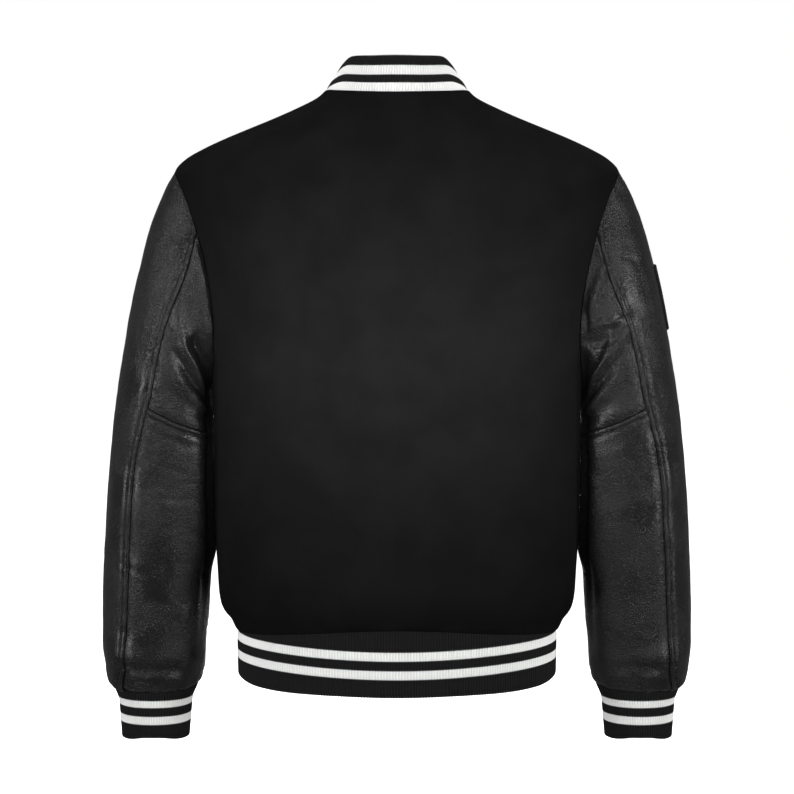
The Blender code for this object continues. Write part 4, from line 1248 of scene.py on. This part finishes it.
def leather_piece(side, block, look):
    """One piece of a sleeve, with the lines of its topstitching.

    A point is the sleeve form at its level and angle, moved out by its folds, creases and seams' relief.
    """
    start, stop, spacing_angle, edges = SLEEVE_BLOCKS[block]
    steps = [BAND_STEPS if edge is sewn_down else SEAM_STEPS for edge in edges]
    first_rows = ELBOW_STEPS if edges[0] is sewn_down else steps[0]
    levels = levels_by_length(sleeve, spacing_angle, start, stop, LEATHER_STEP, first_rows, steps[1])
    front, back = sleeve_seams(levels)
    reach = (front, back) if block == "top" else (back, front + 2 * math.pi)
    angles = angles_by_length(sleeve, levels, *reach, LEATHER_STEP, steps[2], steps[3])
    at = np.repeat(levels[:, None], angles.shape[1], axis=1)
    place = at - (CUFF_LEVEL - cuff_end(angles)) * ease((at - CUFF_LEVEL + 3) / 3)
    points = sleeve(place, angles)
    out = sleeve_normals(place, angles)
    lift = leather_lift(points, at, angles, side)
    inwards = -out
    for k, (line, relief) in enumerate(zip(edge_lines(points), edges)):
        distance, along = beside(points, line)
        lift = lift + relief(distance, along, 60 + 4 * side + k)
        if relief is sewn_to_wool:
            inwards = turned_to(inwards, sleeve_head_inwards(angles[0], out[0])[None], distance)
        if relief is sewn_to_rib:
            inwards = turned_to(inwards, level_out(inwards), distance)
    outer = draw_in(pressed(points + out * lift[..., None], angles), SEAM_GAP / 2)
    name, node = f"leather_{block}_{SIDES[side]}", f"sleeve_{SIDES[side]}_{block}"
    thing = shell(name, node, outer, inwards, LEATHER_WALL, look, side)
    grids = (points, outer, out)
    views = {0: grids, 2: from_first(grids), 3: from_last(grids)}
    lines = [stitch_line(*view) for k, view in views.items() if edges[k] is sewn_down]
    return thing, outer, lines


# ---------------------------------------------------------------------------------------------- rib bands


def rib_angles(line_at, start, stop):
    """Angles of a band's columns, evenly spaced along its seam, a whole number of ribs in all."""
    rough = np.linspace(start, stop, 2000)
    distance = walked(line_at(rough), 0)
    ribs = round(distance[-1] / RIB_PITCH)
    return np.interp(np.linspace(0, distance[-1], ribs * RIB_PARTS + 1), distance, rough)


def rib_band(name, node, seam, edge, tall, inwards, look, sizes, side=LEFT, flare=0.0):
    """A band of rib knit, folded double at its free edge. Its stripes lie as on a band of the tall height.

    A point is on the line from the edge to the seam at its height, moved inwards by its depth in the wall.
    The section runs up the outside, round the fold and up the inside. Each rib is a crest 1 minus the fourth
    power of the cosine across it. Near the seam a flare moves the band off that line.
    """
    half = RIB_WALL / 2
    length = np.linalg.norm(seam - edge, axis=1)
    upwards = (seam - edge) / length[:, None]
    rows = round(float(length.mean()) / RIB_STEP)
    bend = np.linspace(0, math.pi, 7)[1:-1]
    share_out = np.linspace(1, 0, rows + 1)[:, None]
    share_in = np.linspace(0, 1, 5)[:, None]
    height = np.concatenate([
        half + share_out * (length - half),
        half - half * np.sin(bend)[:, None] * np.ones_like(length),
        half + share_in * (length - half),
    ])
    depth = np.concatenate([np.zeros(rows + 1), half - half * np.cos(bend), np.full(5, RIB_WALL)])[:, None]
    rise = np.concatenate([np.zeros(rows + 1), np.sin(bend), np.zeros(5)])[:, None]
    face = np.concatenate([np.ones(rows + 1), np.cos(bend), -np.ones(5)])[:, None]
    phase = np.arange(len(length)) / RIB_PARTS
    valley = sizes.rib_depth * np.abs(np.cos(math.pi * phase)) ** 4
    tuck = RIB_TUCK * (1 - ease((length - height) / RIB_TUCK_HEIGHT)) * (face > 0)
    points = edge + upwards * (height + valley * rise)[..., None]
    points = points + inwards * (depth + valley * face + tuck)[..., None]
    flared = np.clip(height / length / FLARE_SHARE + 1 - 1 / FLARE_SHARE, 0, 1) ** 1.3
    points = (points + flare * flared[..., None]).reshape(-1, 3)
    numbers = np.arange(height.size).reshape(height.shape)
    looped = np.concatenate([numbers, numbers[:1]])
    faces = [*corners(looped).tolist(), numbers[:, 0].tolist(), numbers[::-1, -1].tolist()]
    row, column = rows // 2, len(length) // 2
    middle = corners(numbers[row : row + 2, column : column + 2])[0]
    faces = faced_out(faces, points[middle], inwards[column])
    fields = {"rib": np.broadcast_to(phase, height.shape), "height": height + tall - length}
    return add_piece(name, node, points, faces, look, side, fields)


# -------------------------------------------------------------------------------------------------- trims


def place_on_sleeve(across, height):
    """Level and angle of places on the outside of the sleeve, from Y and Z, by stepping down its slope."""
    angle = np.arcsin(np.clip((across - SLEEVE["middle"][4]) / SLEEVE["depth"][4], -0.9, 0.9))
    level = np.interp(-height, -SLEEVE["outer_z"], np.arange(CUFF_LEVEL + 1.0))
    step = 1e-3
    for _ in range(8):
        place = sleeve(level, angle)
        along = (sleeve(level + step, angle) - place) / step
        around = (sleeve(level, angle + step) - place) / step
        off_y, off_z = across - place[..., 1], height - place[..., 2]
        spread = along[..., 1] * around[..., 2] - along[..., 2] * around[..., 1]
        level = level + (off_y * around[..., 2] - off_z * around[..., 1]) / spread
        angle = angle + (along[..., 1] * off_z - along[..., 2] * off_y) / spread
    return level, angle


def snap_points(seat, out):
    """A snap's cap: its profile turned about the line that leaves the cloth."""
    across = unit(np.cross([0.0, 0.0, 1.0], out))
    up = np.cross(out, across)
    turn = np.linspace(0, 2 * math.pi, SNAP_TURNS, endpoint=False)[:, None]
    circle = np.cos(turn) * across + np.sin(turn) * up
    wide, high = np.array(SNAP_PROFILE).T
    wide, high = SNAP_RADIUS * wide[:, None, None], SNAP_RISE * high[:, None, None]
    return seat + circle * wide + out * high


# ---------------------------------------------------------------------------------------------- operators


class JacketOperator:
    """What the operators of the jacket share."""

    bl_options = {"REGISTER", "UNDO"}


class JACKET_OT_body(JacketOperator, bpy.types.Operator):
    """Build the wool back and both fronts"""

    bl_idname = "jacket.body"
    bl_label = "Wool body"

    def execute(self, context):
        """Build the three panels on the body form."""
        sizes, colours = context.scene.jacket_sizes, context.scene.jacket_colours
        wool = wool_look(colours, sizes)
        levels, back_edge, front_edge, turns = body_rows()
        edges = (wool_at_rib, wool_seam, wool_seam, wool_seam)
        stop = math.pi - back_edge
        back, grids = wool_panel("wool_back", "back", levels, back_edge, stop, (turns, turns), edges, wool)
        sheet(grids[1])
        edges = (wool_at_rib, wool_seam, wool_seam, wool_edge)
        for word, start, offset in (("left", -front_edge, -LAP), ("right", front_edge - math.pi, LAP)):
            name, node, under = f"wool_front_{word}", f"front_{word}", word == "right"
            stop = centre_front_angle(levels, offset)
            front, grids = wool_panel(name, node, levels, start, stop, (-turns, None), edges, wool, under)
            stitches = []
            if not under:
                lines = [stitch_line(*from_last(grids))]
                stitches = [add_stitches("stitches_front_edge", lines, thread_look(colours), sizes)]
            sheet(grids[1])
        return {"FINISHED"}


class JACKET_OT_sleeves(JacketOperator, bpy.types.Operator):
    """Build the leather sleeves, each a top sleeve and an under sleeve cut at the elbow"""

    bl_idname = "jacket.sleeves"
    bl_label = "Leather sleeves"

    def execute(self, context):
        """Build three pieces a side and their topstitching."""
        sizes, colours = context.scene.jacket_sizes, context.scene.jacket_colours
        leather = leather_look(colours, sizes)
        thread = thread_look(colours)
        for side, word in SIDES.items():
            for block in SLEEVE_BLOCKS:
                thing, outer, lines = leather_piece(side, block, leather)
                stitches = []
                if lines:
                    name = f"stitches_{block}_{word}"
                    stitches = [add_stitches(name, lines, thread, sizes, side)]
                sheet(outer)
        return {"FINISHED"}


class JACKET_OT_collar(JacketOperator, bpy.types.Operator):
    """Build the rib collar, whose rounded ends meet at the centre front"""

    bl_idname = "jacket.collar"
    bl_label = "Collar"

    def execute(self, context):
        """Build the band that stands on the neck seam."""
        sizes, colours = context.scene.jacket_sizes, context.scene.jacket_colours
        gap = math.atan2(COLLAR_HALF_GAP, BODY["front"][-1])
        angles = rib_angles(lambda angle: body(NECK_LEVEL, angle), gap - math.pi / 2, 1.5 * math.pi - gap)
        seam = body(np.full_like(angles, NECK_LEVEL), angles)
        top = ring_points(COLLAR_TOP, angles)
        behind = np.clip(np.sin(angles), 0, 1)
        top[:, 2] += COLLAR_BACK_RISE * ease(behind / 0.66) - COLLAR_BACK_DIP * ease((behind - 0.55) / 0.45)
        top[:, 2] -= COLLAR_DROP
        rise = unit(top - seam)
        inwards = unit(np.cross(rise, np.gradient(seam, axis=0)))
        foot = seam + rise * SEAM_GAP / 2
        tall = np.linalg.norm(top - foot, axis=1)
        distance = walked(top, 0)
        to_end = np.minimum(distance, distance[-1] - distance)
        lost = COLLAR_CORNER * (1 - np.sqrt(1 - np.clip(1 - to_end / COLLAR_CORNER, 0, 1) ** 2))
        edge = top + (foot - top) * (lost / tall)[:, None]
        edge[:, 2] -= COLLAR_SHOULDER * hump(behind, 0.38, 0.28)
        look = rib_look("rib_collar", COLLAR_STRIPES, colours)
        thing = rib_band("rib_collar", "collar", foot, edge, tall, inwards, look, sizes)
        sheet(np.stack([foot, edge]))
        return {"FINISHED"}


class JACKET_OT_hem(JacketOperator, bpy.types.Operator):
    """Build the rib hem, whose ends lap at the centre front as the fronts do"""

    bl_idname = "jacket.hem"
    bl_label = "Hem"

    def execute(self, context):
        """Build the band that hangs on the hem seam."""
        sizes, colours = context.scene.jacket_sizes, context.scene.jacket_colours
        start, stop = (centre_front_angle(0.0, offset) for offset in (-LAP, LAP))
        angles = rib_angles(lambda angle: body(0, angle), start, stop + 2 * math.pi)
        seam = body(np.zeros_like(angles), angles)
        inwards = level_out(-normals(body, np.zeros_like(angles), angles))
        bottom = ring_points(HEM_BOTTOM, angles)
        lapped = np.where(angles > math.pi, 1.0, 0.0)
        top = seam + inwards * (lapped * lap_depth(seam))[:, None]
        bottom = bottom + inwards * (lapped * lap_depth(bottom))[:, None]
        tall = np.linalg.norm(top - bottom, axis=1)
        turned = np.abs(np.sin(angles))
        bottom[:, 2] -= HEM_CORNER * ease(turned / 0.4) * (1 - 0.7 * ease((turned - 0.5) / 0.5))
        look = rib_look("rib_hem", HEM_STRIPES, colours)
        thing = rib_band("rib_hem", "hem_rib", top, bottom, tall, inwards, look, sizes)
        sheet(np.stack([top, bottom]))
        return {"FINISHED"}


class JACKET_OT_cuffs(JacketOperator, bpy.types.Operator):
    """Build both rib cuffs, each a band whose ends are sewn together inside the wrist"""

    bl_idname = "jacket.cuffs"
    bl_label = "Cuffs"

    def execute(self, context):
        """Build the bands that hang on the sleeves' ends."""
        sizes, colours = context.scene.jacket_sizes, context.scene.jacket_colours
        look = rib_look("rib_cuff", CUFF_STRIPES, colours)
        top = {key: column[-1] for key, column in SLEEVE.items()}
        gap = CUFF_SEAM_GAP / top["depth"]
        angles = rib_angles(lambda angle: sleeve(cuff_end(angle), angle), gap - math.pi, math.pi - gap)
        seam = sleeve(cuff_end(angles), angles) - [0.0, 0.0, SEAM_GAP / 2]
        straight = oval(top, angles)
        straight[:, 2] = seam[:, 2]
        edge = oval(CUFF_BOTTOM, angles)
        tall = np.linalg.norm(straight - edge, axis=1)
        edge[:, 2] -= CUFF_CORNER * ease((np.abs(np.cos(angles)) - 0.15) / 0.7)
        inwards = level_out(-sleeve_normals(np.full_like(angles, CUFF_LEVEL), angles))
        flare = seam - straight
        for side, word in SIDES.items():
            node = f"cuff_{word}"
            thing = rib_band(f"rib_{node}", node, straight, edge, tall, inwards, look, sizes, side, flare)
            sheet(np.stack([straight, edge]))
        return {"FINISHED"}


class JACKET_OT_snaps(JacketOperator, bpy.types.Operator):
    """Build the snaps down the centre front"""

    bl_idname = "jacket.snaps"
    bl_label = "Snaps"

    def execute(self, context):
        """Turn a cap on each snap's place."""
        look = snap_look(context.scene.jacket_colours)
        centre = np.array(-math.pi / 2)
        levels = np.linspace(0, NECK_LEVEL, 200)
        heights = body(levels, centre)[:, 2]
        for node in sorted(name for name in frame["nodes"] if name.startswith("snap_")):
            low, high = (np.array(corner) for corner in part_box(node))
            middle = (low + high) / 2
            out = np.array([0.0, -1.0, 0.0])
            if middle[2] > heights[0]:
                out = normals(body, np.interp(middle[2], heights, levels), centre)
            cap = snap_points(middle - out * SNAP_RISE / 2, out)
            add_tubes(f"{node}_cap", node, cap[None], look)
        return {"FINISHED"}


class JACKET_OT_patch(JacketOperator, bpy.types.Operator):
    """Build the plain patch on the wearer's right sleeve"""

    bl_idname = "jacket.patch"
    bl_label = "Sleeve patch"

    def execute(self, context):
        """Lay a grid on the sleeve's outside and raise its sewn border."""
        share = np.linspace(-1, 1, PATCH_CELLS + 1)
        down, across = np.meshgrid(share, share, indexing="ij")
        rounding = 1 - PATCH_CORNER * (down * across) ** 4
        level, angle = place_on_sleeve(
            PATCH_Y + PATCH_WIDE / 2 * across * rounding, PATCH_HEIGHT - PATCH_TALL / 2 * down * rounding
        )
        out = sleeve_normals(level, angle)
        to_edge = np.minimum((1 - np.abs(down)) * PATCH_TALL, (1 - np.abs(across)) * PATCH_WIDE) / 2
        border = 1 - ease((to_edge - BORDER_WIDTH) / BORDER_SLOPE)
        round_over = np.sin(math.pi * np.clip(to_edge / BORDER_WIDTH, 0, 1))
        ridge = BORDER_RISE * border * np.sqrt(np.clip(round_over, 0, 1))
        lift = sleeve_folds(level, angle) + SEAM_GAP + PATCH_FELT + ridge
        outer = sleeve(level, angle) + out * lift[..., None]
        upright = np.abs(across) * PATCH_WIDE > np.abs(down) * PATCH_TALL
        round_edge = np.where(upright, down * PATCH_TALL, across * PATCH_WIDE) / 2
        fields = {"border": border, "round": round_edge}
        look = patch_look(context.scene.jacket_colours)
        thing = shell("felt_patch", "sleeve_patch", outer, -out, PATCH_FELT, look, RIGHT, fields)
        sheet(outer)
        return {"FINISHED"}


def add_lamp(context, name, kind, place, aim):
    """A lamp at a place, turned to what it lights and unseen by the camera."""
    lamp = bpy.data.objects.new(name, bpy.data.lights.new(name, kind))
    turn = (Vector(aim) - Vector(place)).to_track_quat("-Z", "Y")
    lamp.matrix_world = Matrix.Translation(place) @ turn.to_matrix().to_4x4()
    lamp.visible_camera = False
    context.scene.collection.objects.link(lamp)
    return lamp


class JACKET_OT_stage(JacketOperator, bpy.types.Operator):
    """Build the floor, the lights and the camera"""

    bl_idname = "jacket.stage"
    bl_label = "Stage"

    def execute(self, context):
        """A plain pale floor, soft boxes all round, pools of light on the back, and the camera behind."""
        signs = ((-1, -1), (1, -1), (1, 1), (-1, 1))
        points = [(x * FLOOR_HALF, y * FLOOR_HALF, FLOOR_HEIGHT) for x, y in signs]
        mesh = bpy.data.meshes.new("floor")
        mesh.from_pydata(points, [], [(0, 1, 2, 3)])
        mesh.materials.append(floor_look(context.scene.jacket_colours))
        floor = bpy.data.objects.new("floor", mesh)
        context.scene.collection.objects.link(floor)
        floor.visible_glossy = False
        floor.visible_diffuse = False
        for name, place, size, power in BOXES:
            light = add_lamp(context, name, "AREA", place, BOX_AIM).data
            light.shape = "RECTANGLE"
            light.size, light.size_y = size
            light.energy = power
        for name, aim, angle, power in POOLS:
            lamp = add_lamp(context, name, "SPOT", POOL_PLACE, aim)
            lamp.visible_glossy = False
            lamp.data.energy = power
            lamp.data.spot_size = math.radians(angle)
            lamp.data.spot_blend = 1.0
            lamp.data.shadow_soft_size = POOL_SIZE
        world = bpy.data.worlds.new("studio")
        context.scene.world = world
        world.use_nodes = True
        tree = world.node_tree
        ambient, white = tree.nodes["Background"], tree.nodes.new("ShaderNodeBackground")
        for background, strength in ((ambient, AMBIENT), (white, 1.0)):
            background.inputs["Color"].default_value = (1.0, 1.0, 1.0, 1.0)
            background.inputs["Strength"].default_value = strength
        seen, mixed = tree.nodes.new("ShaderNodeLightPath"), tree.nodes.new("ShaderNodeMixShader")
        tree.links.new(seen.outputs["Is Camera Ray"], mixed.inputs[0])
        tree.links.new(ambient.outputs[0], mixed.inputs[1])
        tree.links.new(white.outputs[0], mixed.inputs[2])
        tree.links.new(mixed.outputs[0], tree.nodes["World Output"].inputs[0])
        lens = bpy.data.cameras.new("camera")
        lens.lens = CAMERA_LENS
        lens.sensor_width = 36.0
        camera = bpy.data.objects.new("camera", lens)
        camera.location = CAMERA_PLACE
        camera.rotation_euler = (math.pi / 2 - CAMERA_PITCH, 0.0, math.pi)
        context.scene.collection.objects.link(camera)
        context.scene.camera = camera
        context.scene.view_settings.view_transform = "Standard"
        return {"FINISHED"}


class JACKET_PT_panel(bpy.types.Panel):
    """Lists the jacket's operators and settings"""

    bl_idname = "JACKET_PT_panel"
    bl_label = "Varsity jacket"
    bl_space_type = "VIEW_3D"
    bl_region_type = "UI"
    bl_category = "Jacket"

    def draw(self, context):
        """Draw a button for each operator, and the sizes and colours."""
        for operator in OPERATORS:
            self.layout.operator(operator.bl_idname)
        for group in (context.scene.jacket_sizes, context.scene.jacket_colours):
            box = self.layout.box()
            for key in group.__annotations__:
                box.prop(group, key)


OPERATORS = (
    JACKET_OT_body,
    JACKET_OT_sleeves,
    JACKET_OT_collar,
    JACKET_OT_hem,
    JACKET_OT_cuffs,
    JACKET_OT_snaps,
    JACKET_OT_patch,
    JACKET_OT_stage,
)
CLASSES = (JacketSizes, JacketColours, *OPERATORS, JACKET_PT_panel)


def register():
    """Add the classes and the scene's settings."""
    for made in CLASSES:
        bpy.utils.register_class(made)
    bpy.types.Scene.jacket_sizes = PointerProperty(type=JacketSizes)
    bpy.types.Scene.jacket_colours = PointerProperty(type=JacketColours)


def unregister():
    """Remove the settings and the classes."""
    del bpy.types.Scene.jacket_sizes
    del bpy.types.Scene.jacket_colours
    for made in reversed(CLASSES):
        bpy.utils.unregister_class(made)


def main():
    """Build the jacket."""
    register()
    for operator in OPERATORS:
        group, name = operator.bl_idname.split(".")
        getattr(getattr(bpy.ops, group), name)()


if __name__ == "__main__":
    main()
